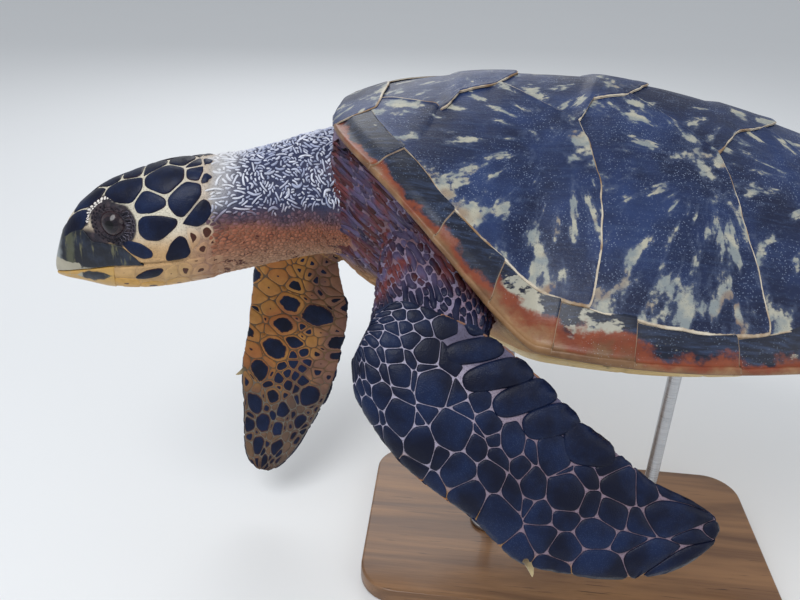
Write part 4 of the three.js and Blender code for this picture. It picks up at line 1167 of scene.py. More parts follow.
def skin_tones(where, normal, part):
    """Colour of the bare skin, given how much each point belongs to each form."""
    x, _, z = where.T
    mottle, fine = fractal(where, 14, 3), fractal(where, 4.5, 2)
    shoulder = blend(smoothstep(mottle, -0.4, 0.5), (0.19, 0.105, 0.13), (0.24, 0.21, 0.32))
    pale = blend(smoothstep(mottle, -0.5, 0.5), (0.44, 0.27, 0.11), (0.40, 0.21, 0.08))
    upper_body = smoothstep(normal[:, 2], -0.35, 0.2)
    front = smoothstep(z + 8 * mottle, -46, -14) * (1 - smoothstep(x, 110, 160))
    tones = dict(
        head=head_skin(off_neck(where), mottle, fine), neck=neck_skin(where, mottle, fine),
        arm_left=blend(smoothstep(-z + 6 * mottle, 2, 40) * 0.8, shoulder, (0.11, 0.085, 0.13)),
        arm_right=blend(smoothstep(z + 6 * mottle, -30, 30), (0.36, 0.20, 0.09), shoulder),
        trunk=blend(np.maximum(upper_body, front), pale, shoulder),
        tail=blend(smoothstep(normal[:, 2], -0.3, 0.5), pale, (0.10, 0.08, 0.09)))
    for name, shape, upwards in (("blade_left", LEFT_BLADE, -1), ("blade_right", RIGHT_BLADE, 1),
                                 ("paddle_left", LEFT_PADDLE, -1), ("paddle_right", RIGHT_PADDLE, 1)):
        tones[name] = blade_skin(shape, upwards, shape["stations"] is BLADE, where, normal, mottle)
    return sum(part[:, [k]] * tones[name] for k, name in enumerate(FORM_NAMES))


def folds(where, share):
    """How far folds, wrinkles and the mouth raise each point of the skin, or sink it below 0."""
    x, y, z = where.T
    swirl, rough = fractal(where, 42, 2), fractal(where, 3.4, 2)
    neck = np.clip(share["neck"] * 1.2, 0, 1)
    rings = crease((x + 0.28 * z + 9 * swirl) / 10.5) * (0.25 + smoothstep(x, -80, 5))
    lengths = crease((z * 0.8 + y * 0.6 + 12 * swirl) / 7.5, 0.7) * 0.45
    move = -neck * (1.5 * rings + lengths) + neck * 0.5 * rough
    arm = np.clip(share["arm_left"] + share["arm_right"] + 0.9 * share["trunk"] * (x < 130), 0, 1)
    long_way = crease((x + 0.5 * z + 15 * swirl) / 8.5, 0.55)
    cross_way = crease((y - 0.3 * x + 11 * fractal(where, 25, 2)) / 17, 0.75)
    move += arm * (-1.7 * long_way - 0.8 * cross_way + 0.45 * rough)
    skull = np.clip(share["head"] * 1.1, 0, 1)
    head = off_neck(where)
    mouth = mouth_distance(head)
    lips = -2.6 * bell(mouth, 1.3) + 0.8 * bell(mouth - 3.4, 1.7)
    move += skull * smoothstep(head[:, 0], 24, 34) * lips
    move += skull * (1 - smoothstep(head[:, 0], 0, 30)) * -0.8 * crease((head[:, 2] + 6 * swirl) / 8, 0.6)
    return move + 0.16 * rough


def worked_skin(piece):
    """Lids, mouth, folds and wrinkles, then each point's colour."""
    mesh = piece.data
    where, normal = shell_points(mesh), normals(mesh)
    x, y, z = where.T
    inside = (x > 60) & (x < 680) & (np.abs(y) < 0.75 * rim_half(np.clip(x / SHELL_LENGTH, 0, 1)))
    where[:, 2] = np.where(inside, np.minimum(z, dome(x, y) - UNDER_SCUTES - 3), z)
    edges = read(mesh.edges, "vertices", 2, np.int32)
    part = blurred(np.eye(len(FORM_NAMES))[nearest_forms(where)], edges, 14)
    share = dict(zip(FORM_NAMES, part.T))
    where = where + normal * folds(where, share)[:, None]
    on_skull = share["head"] * 1.1 > 0.5
    where = np.where(on_skull[:, None], on_neck(lids(off_neck(where))), where)
    set_points(mesh, where)
    mesh.update()
    smooth(mesh)
    give(piece, "tone", skin_tones(where, normals(mesh), part))
    return where


skin_points = worked_skin(skin)
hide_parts("head", "jaw", "neck", "trunk", "tail", "arm_left", "arm_right", "flipper_front_left",
            "flipper_front_right", "flipper_hind_left", "flipper_hind_right")
skin_tree = BVHTree.FromPolygons(
    [tuple(point) for point in skin_points], [tuple(face.vertices) for face in skin.data.polygons])


# ---- Scales ---------------------------------------------------------------------------------
def scale_material(name="scale", ink_low=(0.0026, 0.0042, 0.016), ink_high=(0.006, 0.015, 0.054)):
    """Horny scales: a dark middle out to each one's own share, and its own light tone round it."""
    s = Shader(name, roughness=0.4, coat=0.03, specular=0.17)
    ragged = s.swing(s.noise(170, 4.0, 0.65), 0.34)
    reach = s.plus(s.plus(s.value("core"), ragged), s.math("SUBTRACT", s.value("dark"), 1.0))
    cloud = s.step(s.noise(24, 4.0), 0.35, 0.7)
    stipple = s.step(s.spots(900), 0.35, 0.1)
    ink = s.mix(cloud, ink_low, ink_high)
    ink = s.mix(s.times(stipple, s.times(cloud, 0.5)), ink, (0.05, 0.08, 0.15))
    fringe = s.times(s.step(reach, 0.2, 0.02), s.step(s.noise(20, 2.0), 0.4, 0.6))
    ink = s.mix(s.times(fringe, 0.7), ink, (0.055, 0.018, 0.014))
    light = s.shaded(s.vector("tone"), s.plus(s.times(s.noise(120), 0.6), 0.68))
    s.colour(s.mix(s.step(reach, 0.0, 0.07), light, ink))
    s.rough(s.noise(140, 2.0), 0.22, 0.3)
    s.bump((s.spots(900), 0.00016), (s.noise(300), 0.0002))
    return s.material


SCALE = scale_material()
LIDS = scale_material("scale_lid", (0.004, 0.004, 0.009), (0.013, 0.010, 0.017))
SPOTTED = scale_material("scale_spotted", (0.045, 0.014, 0.010), (0.085, 0.030, 0.018))


def clipped(polygon, ux, uy, reach):
    """The part of a polygon that lies within `reach` along a direction."""
    out = []
    px, py = polygon[-1]
    before = px * ux + py * uy - reach
    for x, y in polygon:
        now = x * ux + y * uy - reach
        if (now <= 0) != (before <= 0):
            t = before / (before - now)
            out.append((px + (x - px) * t, py + (y - py) * t))
        if now <= 0:
            out.append((x, y))
        px, py, before = x, y, now
    return out


def cells(seeds, weights, box, gap, period=0.0):
    """For each seed the outline of its scale: what is nearer to it than to any other.

    With a period the cells go round: the box's far side in y meets its near side."""
    seeds, weights = np.asarray(seeds, float), np.asarray(weights, float)
    every = np.vstack([seeds, seeds + (0, period), seeds - (0, period)]) if period else seeds
    tree = tree_of(every)
    (x0, x1), (y0, y1) = box
    outlines = []
    for i, (x, y) in enumerate(seeds):
        low, high = (y - period / 2, y + period / 2) if period else (y0, y1)
        polygon = [(x0, low), (x1, low), (x1, high), (x0, high)]
        for place, k, distance in tree.find_n((x, y, 0), 17):
            if distance < 1e-6 or not polygon:
                continue
            ux, uy = (place[0] - x) / distance, (place[1] - y) / distance
            half = distance / 2 + (weights[i] - weights[k % len(seeds)]) / (2 * distance)
            polygon = clipped(polygon, ux, uy, x * ux + y * uy + half - gap / 2)
        outlines.append(polygon if len(polygon) > 2 else None)
    return outlines


def rounded(polygon, count, soft):
    """An outline with its corners cut twice over, as `count` even points."""
    ring = np.array(polygon, float)
    for _ in range(2):
        after = np.roll(ring, -1, 0)
        ring = np.stack([lerp(ring, after, soft), lerp(after, ring, soft)], 1).reshape(-1, 2)
    loop = np.vstack([ring, ring[:1]])
    reach = reach_along(loop)
    return at_reach(loop, reach, np.linspace(0, reach[-1], count, endpoint=False))


# Rings of a scale from its sunk edge inwards: (millimetres in, share of the way in, share of height).
FINE_RINGS = [(-0.2, 0, -0.9), (0, 0, 0.1), (0.25, 0, 0.55), (0.8, 0, 0.88), (1.8, 0, 1.0), (0, 0.45, 1.1),
              (0, 0.75, 1.2)]
DOME_RINGS = [(-0.2, 0, -0.4), (0, 0, 0.05), (0.5, 0, 0.32), (1.6, 0, 0.6), (3.6, 0, 0.85), (0, 0.5, 1.0),
              (0, 0.78, 1.1)]
COARSE_RINGS = [(-0.1, 0, -0.7), (0.1, 0, 0.5), (0.1, 0.5, 0.95)]
LEAST_SCALE = 0.8
SLOPE_STEP = 0.6


def ringed(outlines, rings, count, soft):
    """The rings of each scale that isn't too small, its middle, and its number among the outlines."""
    inset, inward, _ = np.array(rings, float).T
    grids, centres, keep = [], [], []
    for k, outline in enumerate(outlines):
        if outline is None:
            continue
        ring = rounded(outline, count, soft)
        centre = ring.mean(0)
        radius = np.linalg.norm(ring - centre, axis=1).mean()
        if radius < LEAST_SCALE:
            continue
        factor = np.where(inward > 0, 1 - inward, 1 - np.minimum(inset / radius, 0.5))
        grids.append(centre + (ring - centre) * factor[:, None, None])
        centres.append(centre)
        keep.append(k)
    return np.array(grids), np.array(centres), np.array(keep)


def coat(name, outlines, surface, height, dark, tone, rings=FINE_RINGS, count=26, slot="scales",
         crown=0.0, soft=0.22, material=SCALE, within=5.0):
    """One piece of scales, each a low dome on the skin with its edge sunk in it.

    A scale whose middle would lie deeper than `within` inside another form is left out."""
    grids, centres, keep = ringed(outlines, rings, count, soft)
    shown = np.array([skin_tree.find_nearest(place)[3] for place in surface(*centres.T)]) < within
    grids, centres, keep = grids[shown], centres[shown], keep[shown]
    number, levels = len(grids), len(rings)
    size = levels * count + 1
    inset, inward, lift = np.array(rings, float).T
    spread = np.linalg.norm(grids[:, 1] - centres[:, None], axis=2).mean(1)
    high = np.broadcast_to(height, len(outlines))[keep]
    shares = np.concatenate([np.repeat(lift, count), [1.25]])
    rise = high[:, None] * shares + crown * spread[:, None] * np.maximum(shares - 0.9, 0) / 0.35

    flat = np.concatenate([grids.reshape(number, -1, 2), centres[:, None]], 1)
    x, y = flat[..., 0], flat[..., 1]
    across_x = surface(x + SLOPE_STEP, y) - surface(x - SLOPE_STEP, y)
    across_y = surface(x, y + SLOPE_STEP) - surface(x, y - SLOPE_STEP)
    out = unit(np.cross(across_x, across_y))
    hits = [skin_tree.find_nearest(point) for point in surface(x, y).reshape(-1, 3)]
    ground, skin_out = (np.array([hit[k] for hit in hits]).reshape(out.shape) for k in (0, 1))
    flip = np.sign((out * skin_out).sum((1, 2))).sum() < 0
    points = (ground + (-out if flip else out) * rise[..., None]).reshape(-1, 3)

    pattern = grid_faces(levels, count, wrap=True)
    last = (levels - 1) * count
    pattern += [(last + j, last + (j + 1) % count, size - 1) for j in range(count)]
    if flip:
        pattern = [face[::-1] for face in pattern]
    faces = [tuple(n * size + v for v in face) for n in range(number) for face in pattern]
    piece = make(name, points, faces, material, slot)
    core = np.where(inward > 0, inward, np.clip(inset / np.maximum(spread, 1)[:, None], 0, 0.5))
    give(piece, "core", np.hstack([np.repeat(core, count, 1), np.ones((number, 1))]).ravel())
    give(piece, "dark", np.repeat(np.broadcast_to(dark, len(outlines))[keep], size))
    give(piece, "tone", tone(points, keep, size))
    uv = flat.reshape(-1, 2)
    give_map(piece, 0.01 + 0.98 * (uv - uv.min(0)) / (uv.max(0) - uv.min(0)))


def jittered(rng, places, amount):
    return [(x + rng.normal(0, amount), y + rng.normal(0, amount)) for x, y in places]


def filled(rng, seeds, box, spacing, tries):
    """More seeds, none nearer to another than the spacing at its place."""
    found = np.array(seeds, float).reshape(-1, 2)
    for x, y in zip(rng.uniform(*box[0], tries), rng.uniform(*box[1], tries)):
        if not len(found) or np.min(np.hypot(*(found - (x, y)).T)) >= spacing(x, y):
            found = np.vstack([found, (x, y)])
    return found


# ---- Scales of the flippers -----------------------------------------------------------------
HALF_SPAN = 64
BLADE_REACH = 321
PADDLE_REACH = 214
# Plates on the back of a front flipper, in rows from the trailing edge to the leading one: the
# place of each along the blade, its share of the half breadth, and its radius.
BACK_PLATES = [
    [(217, -0.72, 8), (230, -0.6, 15), (253, -0.74, 10), (270, -0.92, 7), (279, -0.52, 22), (312, -0.36, 7)],
    [(28, -0.47, 7), (42, -0.42, 11), (48, -0.25, 7), (61, -0.52, 9), (60, -0.08, 16), (77, -0.12, 10),
     (97, -0.3, 7), (113, -0.11, 9), (136, -0.14, 12), (151, -0.2, 8), (169, -0.42, 15), (181, -0.3, 7),
     (202, -0.4, 7), (213, -0.13, 11), (234, -0.18, 14), (254, -0.23, 9), (302, -0.29, 8)],
    [(11, -0.24, 8), (20, -0.09, 9), (30, 0.06, 11), (39, 0.26, 6), (67, 0.17, 9), (85, -0.02, 10),
     (87, 0.23, 18), (109, 0.07, 4), (110, 0.23, 11), (121, -0.01, 7), (130, 0.16, 9), (151, 0, 10),
     (165, 0.06, 12), (193, -0.12, 17), (200, 0.17, 10), (230, 0.24, 16), (252, 0.25, 11)],
    [(3, 0.19, 8), (11, 0.42, 8), (25, 0.52, 11), (45, 0.54, 15), (61, 0.45, 6), (70, 0.61, 15),
     (90, 0.55, 12), (107, 0.6, 17), (132, 0.4, 14), (151, 0.39, 11), (171, 0.26, 5), (181, 0.28, 10),
     (191, 0.55, 11), (211, 0.58, 12), (243, 0.69, 17), (274, 0.46, 17)],
    [(-6, -0.39, 6), (-3, -0.06, 6), (22, 0.86, 10), (47, 0.84, 9), (74, 0.9, 8), (96, 0.92, 8),
     (124, 0.78, 18), (152, 0.76, 20), (176, 0.88, 14), (207, 0.93, 9), (306, 0.66, 20)],
]
# The domes along the trailing edge: middle, half length, half breadth, and turn in degrees.
DOMES = [(70, -69, 11, 8, -50), (76, -49, 26, 9.8, -39), (102.5, -44.5, 33, 10.6, -44),
         (130, -45, 33, 10.8, -52), (157, -46, 30, 11, -51), (193, -53, 24, 17, -26)]
EDGE_PLATES = 0.07


def oval(x, y, long, wide, degrees):
    """Outline of a dome: a full ellipse, turned."""
    turn = np.linspace(0, 2 * math.pi, 28, endpoint=False)
    c, s = np.cos(turn), np.sin(turn)
    u = np.sign(c) * np.abs(c) ** 0.7 * long
    v = np.sign(s) * np.abs(s) ** 0.7 * wide
    lean = math.radians(degrees)
    return [(x + a * math.cos(lean) - b * math.sin(lean), y + a * math.sin(lean) + b * math.cos(lean))
            for a, b in zip(u, v)]


def blade_surface(shape, face):
    def surface(x, y):
        share = y / HALF_SPAN
        beyond = np.maximum(np.abs(share) - 1, 0)
        point = blade_point(shape, x, np.clip(share, -1, 1), face, -COAT)
        edge = blade_point(shape, x, np.sign(share), -face, -COAT)
        return lerp(point, edge, np.clip(beyond / (2 * EDGE_PLATES), 0, 1)[..., None])
    return surface


def back_tone(shape):
    def tone(points, keep, size):
        at, share = blade_place(shape, points)
        mottle = fractal(points, 14, 2)
        seam = blend(smoothstep(at + 20 * mottle, 20, 170), (0.36, 0.34, 0.44), (0.19, 0.13, 0.17))
        return blend(smoothstep(share, 0.84, 1.0) * smoothstep(at, 30, 90), seam, (0.42, 0.25, 0.10))
    return tone


def front_tone(points, keep, size):
    mottle = fractal(points, 18, 2)
    return blend(smoothstep(mottle, -0.5, 0.5), (0.60, 0.34, 0.10), (0.48, 0.22, 0.06))


def fore_front_tone(shape):
    """Orange towards the leading edge, browner and greyer towards the trailing edge and the tip."""
    def tone(points, keep, size):
        at, share = blade_place(shape, points)
        mottle = fractal(points, 20, 2)
        warm = blend(smoothstep(mottle, -0.5, 0.5), (0.44, 0.215, 0.060), (0.38, 0.140, 0.045))
        dull = blend(smoothstep(mottle, -0.4, 0.4), (0.26, 0.135, 0.085), (0.19, 0.100, 0.078))
        away = smoothstep(-share + 0.5 * mottle, -0.25, 0.75)
        tone = blend(away, warm, dull)
        return blend(0.85 * smoothstep(at + 12 * mottle, 150, 235), tone, (0.085, 0.062, 0.05))
    return tone


def dress_back(name, shape, upwards, seed, shake):
    rng = np.random.default_rng(seed)
    plates = [plate for row in BACK_PLATES for plate in row]
    seeds = jittered(rng, [(at, share * HALF_SPAN) for at, share, _ in plates], shake)
    sizes = [size for _, _, size in plates]
    for x, y, long, wide, degrees in DOMES:
        lean = math.radians(degrees)
        for step in (-1, -0.5, 0, 0.5, 1):
            run = step * (long - wide)
            seeds.append((x + run * math.cos(lean), y + run * math.sin(lean)))
            sizes.append(wide)
    under_domes = slice(len(plates), len(seeds))
    seeds = filled(rng, seeds, ((-24, 60), (-66, 62)), lambda x, y: 6 + 0.12 * np.maximum(x + 24, 0), 1500)
    sizes = np.concatenate([sizes, np.full(len(seeds) - len(sizes), 4.0)])
    weights = sizes ** 2
    weights[under_domes] *= 0.6
    sides = (-HALF_SPAN * (1 + 1.5 * EDGE_PLATES), HALF_SPAN * (1 + EDGE_PLATES))
    outlines = cells(seeds, weights, ((-24, BLADE_REACH), sides), 0.6)
    outlines[under_domes] = [None] * len(outlines[under_domes])
    surface, tone = blade_surface(shape, upwards), back_tone(shape)
    coat(name, outlines, surface, 0.8 + 0.02 * sizes, 1.16, tone, crown=0.05, count=38, soft=0.16)
    coat(name.replace("scales", "domes"), [oval(*spec) for spec in DOMES], surface, 3.2, 1.16, tone,
         rings=DOME_RINGS, crown=0.03, count=48, soft=0.24, within=8.0)


# Scales on the front of a front flipper: the place of each along the blade, its share of the
# half breadth, its radius, and how much of it is dark.
FRONT_PLATES = [
    (36, 0.95, 10, 0.7), (61, 0.97, 11, 0.93), (88, 0.92, 13, 0.25), (116, 0.95, 11, 0.12),
    (138, 0.97, 12, 0.62), (34, 0.55, 12, 0.12), (53, 0.4, 12, 0.16), (72, 0.62, 13, 0.14),
    (61, 0.05, 11, 0.66), (85, 0.17, 16, 0.74), (93, -0.39, 17, 0.97), (98, 0.58, 12, 0.1),
    (114, 0.28, 15, 0.74), (135, 0.0, 10, 0.86), (126, -0.83, 11, 0.85), (150, 0.36, 18, 0.86),
    (160, 0.78, 12, 0.2), (182, 0.58, 16, 0.9), (204, 0.9, 11, 0.3), (204, -0.62, 18, 0.85),
    (230, 0.66, 16, 0.97), (214, 0.22, 13, 0.6), (232, -0.1, 12, 0.8), (255, 0.36, 15, 0.97),
    (257, -0.1, 13, 0.97), (240, -0.66, 11, 0.9), (262, 0.8, 10, 0.9), (286, 0.4, 15, 0.97),
    (284, -0.3, 14, 0.97), (306, 0.0, 11, 0.97), (62, -0.5, 6, 0.5), (70, -0.74, 6, 0.45),
    (112, -0.1, 5, 0.7), (118, -0.3, 4, 0.6), (76, -0.12, 5, 0.4), (152, -0.06, 5, 0.85),
    (148, -0.24, 5, 0.8), (160, -0.36, 5, 0.75), (165, -0.1, 6, 0.86), (168, -0.27, 6, 0.86),
    (172, 0.1, 5, 0.85), (178, -0.02, 6, 0.86), (181, -0.2, 6, 0.86), (186, -0.36, 8, 0.86),
    (190, 0.16, 7, 0.85), (196, -0.08, 7, 0.8), (170, -0.62, 7, 0.6), (144, -0.56, 5, 0.45),
    (106, -0.78, 5, 0.3), (40, -0.1, 6, 0.35),
]


def widened(places, power):
    """Places drawn in towards the blade's middle line near its root, or with power -1 the reverse.

    Cells cut between the places drawn in come out long across the blade."""
    x, y = places.T
    return np.column_stack([x, y * lerp(0.66, 1.0, smoothstep(x, 110, 190)) ** power])


def dress_front(name, shape, upwards, seed, shake, first=-22, trailing=-0.95):
    rng = np.random.default_rng(seed)
    plates = jittered(rng, [(at, share * HALF_SPAN) for at, share, _, _ in FRONT_PLATES], shake)
    seeds = filled(rng, plates, ((-20, BLADE_REACH - 4), (-60, 58)),
                   lambda x, y: 11.0 + 3 * smoothstep(y, 0, 40), 2500)
    more = len(seeds) - len(plates)
    sizes = np.concatenate([[size for _, _, size, _ in FRONT_PLATES], rng.uniform(2, 7, more)])
    sides = (trailing * HALF_SPAN, 0.97 * HALF_SPAN)
    outlines = cells(widened(seeds, 1), 0.8 * sizes ** 2, ((first, BLADE_REACH), sides), 0.9)
    outlines = [widened(np.array(outline), -1) if outline else None for outline in outlines]
    tip = smoothstep(seeds[:, 0], 0.5 * BLADE_REACH, 0.8 * BLADE_REACH)
    own = np.concatenate([[share for _, _, _, share in FRONT_PLATES],
                          rng.choice((-0.5, 0.15, 0.4, 0.7), more, p=(0.35, 0.25, 0.25, 0.15))])
    dark = np.clip(own + 0.3 * tip * (own > -0.4), -0.5, 0.97)
    coat(name, outlines, blade_surface(shape, -upwards), 0.9, dark, fore_front_tone(shape),
         crown=0.03, soft=0.2, within=2.6)


dress_back("scales_back_left", LEFT_BLADE, -1, 1, 0.0)
dress_back("scales_back_right", RIGHT_BLADE, 1, 2, 2.0)
dress_front("scales_front_left", LEFT_BLADE, -1, 3, 2.5, first=34, trailing=-0.84)
dress_front("scales_front_right", RIGHT_BLADE, 1, 4, 0.5)


def hex_field(rng, box, across, down, jitter):
    """Seeds in staggered rows, each shaken a little from its place."""
    (x0, x1), (y0, y1) = box
    rows = int(round((y1 - y0) / down))
    seeds = []
    for j in range(rows):
        y = y0 + (j + 0.5) * (y1 - y0) / rows
        for x in np.arange(x0 + (j % 2) * across / 2, x1, across):
            seeds.append((x + rng.normal(0, jitter * across), y + rng.normal(0, jitter * down)))
    return np.array(seeds)


# ---- Scales of the hind flippers and tail ---------------------------------------------------
def dress_paddle(name, shape, face, seed, dark, tone, spacing):
    rng = np.random.default_rng(seed)
    reach = HALF_SPAN * (1 + EDGE_PLATES)
    edge = [(at, share * HALF_SPAN) for at in np.arange(14, PADDLE_REACH, 19.0) for share in (-0.86, 0.86)]
    box = ((4, PADDLE_REACH - 6), (-58, 58))
    seeds = filled(rng, jittered(rng, edge, 2), box, lambda x, y: spacing, 1600)
    outlines = cells(seeds, rng.uniform(0, 30, len(seeds)), ((0, PADDLE_REACH), (-reach, reach)), 1.8)
    shade = np.clip(rng.normal(dark, 0.16, len(seeds)), 0, 0.96)
    coat(name, outlines, blade_surface(shape, face), 0.9, shade, tone, crown=0.03, count=22)


dress_paddle("scales_back_hind_left", LEFT_PADDLE, -1, 5, 0.9, back_tone(LEFT_PADDLE), 15)
dress_paddle("scales_back_hind_right", RIGHT_PADDLE, 1, 6, 0.9, back_tone(RIGHT_PADDLE), 15)
dress_paddle("scales_front_hind_left", LEFT_PADDLE, 1, 7, 0.3, front_tone, 13)
dress_paddle("scales_front_hind_right", RIGHT_PADDLE, -1, 8, 0.3, front_tone, 13)


# ---- Plates of the head ---------------------------------------------------------------------
HEAD_ROUND = 58.0
# Middle of each plate of the left side from the neck joint, its weight, and how much is dark.
CROWN_PLATES = [((26, 0, 77), 11, 1.1), ((58, 0, 69), 9, 1.1), ((78, 0, 63), 11, 1.1), ((100, 0, 53), 9, 1.1)]
SIDE_PLATES = [
    ((-1, 10, 79), 4, 1), ((14, 13, 76), 4, 1.05), ((13, 27, 71), 6, 1.05), ((-1, 30, 69), 4, 1),
    ((122, 10, 39), 10, 1.1), ((141, 15, 13), 12, 1.2), ((87, 23, 51), 15, 1.1), ((42, 28, 66), 17, 1.1),
    ((22, 46, 52), 14, 1.1), ((8, 52, 38), 11, 1.08), ((58, 43, 43), 10, 1.08), ((2, 57, 19), 6, 0.72),
    ((14, 58, 10), 3, 0.5), ((9, 57, 0), 3, 0.6), ((27, 52, -26), 4, 0.45), ((14, 51, -29), 4, 0.4),
    ((17, 56, -12), 3, 0.2), ((44, 50, -30), 4, 0.1), ((90, 43, -34), 5, 0.1), ((92, 34, -55), 7, 0.2),
    ((66, 34, -56), 8, 0.35), ((38, 38, -52), 8, 0.2), ((12, 42, -48), 8, 0.2), ((94, 12, -65), 8, 0.15),
    ((70, 12, -65), 8, 0.2), ((44, 13, -62), 8, 0.15), ((18, 14, -57), 8, 0.2), ((-4, 57, 8), 3, 0.4),
    ((-5, 54, -14), 4, 0.2), ((-5, 48, -34), 4, 0.1),
]
# Plates of the left cheek, longer than they are tall: middle, weight, and outline round the middle
# in millimetres towards the beak and downwards.
CHEEK_PLATES = [
    ((52, 51, 21), 13, [(20, -8), (14, -12), (-4, -10), (-21, -5), (-20, 1), (-2, 11), (13, 9), (20, 3)]),
    ((74, 48, -5), 8, [(18, -6), (9, -8), (-3, -5), (-15, 2), (-14, 8), (-4, 9), (9, 2)]),
    ((33, 57, -2), 10, [(14, 5), (8, -5), (-2, -11), (-9, -8), (-13, 4), (-7, 10), (12, 11)]),
    ((66, 45, -34), 12, [(17, 7), (13, 1), (3, -6), (-13, -8), (-16, -4), (-10, 4), (5, 8)]),
]
# Places on the head that plates leave free: the eye, and the sheaths of the beak.
FREE_PLACES = [
    ((97, 39, 17), 22), ((113, 32, 31), 6), ((104, 34, 40), 5), ((151, 16, -12), 9), ((131, 30, -14), 9),
    ((112, 37, -20), 9), ((95, 43, -20), 6), ((55, 53, -9), 5), ((52, 53, -20), 6), ((128, 28, -48), 12),
    ((112, 14, -64), 9), ((160, 0, 4), 12), ((140, 10, -56), 12)]


def head_turn(at, across, z):
    """The turn round the head at which its outside is nearest to a place."""
    turns = np.linspace(0, math.pi, 361)
    section = head_point(at, turns)
    return turns[np.argmin(np.hypot(section[:, 1] - across, section[:, 2] - z))]


def head_surface(x, y):
    return on_neck(head_point(x, y / HEAD_ROUND, -COAT))


def face_tone(points, keep, size):
    head = off_neck(points)
    mottle = fractal(points, 14, 2)
    top = smoothstep(head[:, 2] + 5 * mottle, 0, 34)
    tone = blend(top, (0.52, 0.33, 0.15), (0.66, 0.62, 0.51))
    under = smoothstep(-head[:, 2], 34, 50) * smoothstep(head[:, 0], 10, 60)
    tone = blend(under, tone, (0.56, 0.31, 0.07))
    behind = 1 - smoothstep(head[:, 0], 0, 40)
    return blend(0.8 * behind * (1 - 0.6 * top), tone, (0.38, 0.21, 0.14))


def split_at_mouth(outline, seed):
    """A plate's outline kept on its own side of the mouth."""
    side = 1 if seed[1] > 0 else -1
    for (a, low), (b, high) in zip(MOUTH[:-2], MOUTH[1:-1]):
        ends = [(x, head_turn(x, float(along(column(HEAD, 1), x)), z) * HEAD_ROUND)
                for x, z in ((a, low), (b, high))]
        run = np.subtract(ends[1], ends[0])
        across = np.array([run[1], -run[0]]) / np.hypot(*run)
        level = across @ ends[0]
        if outline and a - 14 < seed[0] < b + 14:
            keep = 1 if across @ (seed[0], abs(seed[1])) < level else -1
            ux, uy = keep * across * (1, side)
            outline = clipped(outline, ux, uy, keep * level - 1.3)
    return outline if outline and len(outline) > 2 else None


def cut_back(outline, seed, fence, gap):
    """An outline kept beyond the side of a fence that faces its seed."""
    fence = np.array(fence)
    after = np.roll(fence, -1, 0)
    out = unit(np.column_stack([(after - fence)[:, 1], (fence - after)[:, 0]]))
    out = out * np.sign(((fence + after) / 2 - fence.mean(0)) @ out.T).diagonal()[:, None]
    away = ((np.asarray(seed) - fence) * out).sum(1)
    k = int(np.argmax(away))
    if outline is None or away[k] < 0:
        return outline
    outline = clipped(outline, *-out[k], -(fence[k] @ out[k] + gap))
    return outline if len(outline) > 2 else None


def only(outlines, wanted):
    return [outline if is_wanted else None for outline, is_wanted in zip(outlines, wanted)]


def cut_at_cheek_plates(outlines, seeds, weights, dark):
    """Outlines kept clear of the cheek plates, and the cheek plates' own added after them."""
    for (at, across, z), weight, shape in CHEEK_PLATES:
        for side in (1, -1):
            y = head_turn(at, across, z) * HEAD_ROUND
            fence = [(at + u, side * (y + v)) for u, v in shape]
            for k, seed in enumerate(seeds):
                if math.hypot(seed[0] - at, seed[1] - side * y) < 45:
                    outlines[k] = cut_back(outlines[k], seed, fence, 1.8)
            outlines.append(fence if side > 0 else fence[::-1])
            seeds.append((at, side * y))
            weights.append(float(weight) ** 2)
            dark.append(1.1)


def dress_head():
    rng = np.random.default_rng(11)
    specs = [(*plate, 0) for plate in CROWN_PLATES]
    specs += [(*plate, side) for plate in SIDE_PLATES for side in (1, -1)]
    specs += [(place, weight, None, side) for place, weight in FREE_PLACES for side in (1, -1)]
    specs += [(place, weight, None, side) for place, weight, _ in CHEEK_PLATES for side in (1, -1)]
    behind = [(-7 + 3 * (-1) ** k, HEAD_ROUND * turn) for k, turn in enumerate(np.linspace(-1.75, 1.75, 17))]
    seeds, weights, dark = [], [], []
    for (at, across, z), weight, share, side in specs:
        turn = head_turn(at, across, z) * side if side else 0.0
        shake = 0 if side >= 0 or share is None else 1.6
        seeds.append((at + rng.normal(0, shake), turn * HEAD_ROUND + rng.normal(0, shake) + 1e-3 * at))
        weights.append(float(weight) ** 2)
        dark.append(share)
    seeds += behind
    weights += [30.0] * len(behind)
    dark += [None] * len(behind)
    outlines = cells(seeds, weights, ((-12, 154), (-183, 183)), 1.8, period=2 * math.pi * HEAD_ROUND)
    outlines = [None if share is None else split_at_mouth(outline, seed)
                for outline, share, seed in zip(outlines, dark, seeds)]
    cut_at_cheek_plates(outlines, seeds, weights, dark)
    height = 0.75 + 0.035 * np.sqrt(weights)
    dark = np.array([0 if share is None else share for share in dark])
    coat("head_plates", only(outlines, dark >= 0.8), head_surface, height, dark, face_tone,
         crown=0.03, count=44, soft=0.17)
    coat("cheek_scales", only(outlines, dark < 0.8), head_surface, 0.45 * height, dark, face_tone,
         crown=0.02, count=36, material=SPOTTED)


dress_head()


# ---- Scales of the lids ---------------------------------------------------------------------


def lid_surface(side):
    def surface(x, y):
        radius = EYE_RADIUS + LID
        out = np.maximum(np.sqrt(np.maximum(radius ** 2 - x ** 2 - y ** 2, 0)), 11 - 0.2 * x)
        head = EYE_AT + x[..., None] * EYE_ONWARD + y[..., None] * EYE_UP + out[..., None] * EYE_AXIS
        return on_neck(head * (1, side, 1))
    return surface


def lid_tone(points, keep, size):
    ahead = eye_view(off_neck(points))[0]
    return blend(smoothstep(-ahead, 6, 14), (0.050, 0.033, 0.042), (0.17, 0.16, 0.21))


def bead_tone(points, keep, size):
    return np.tile((0.78, 0.74, 0.70), (len(points), 1))


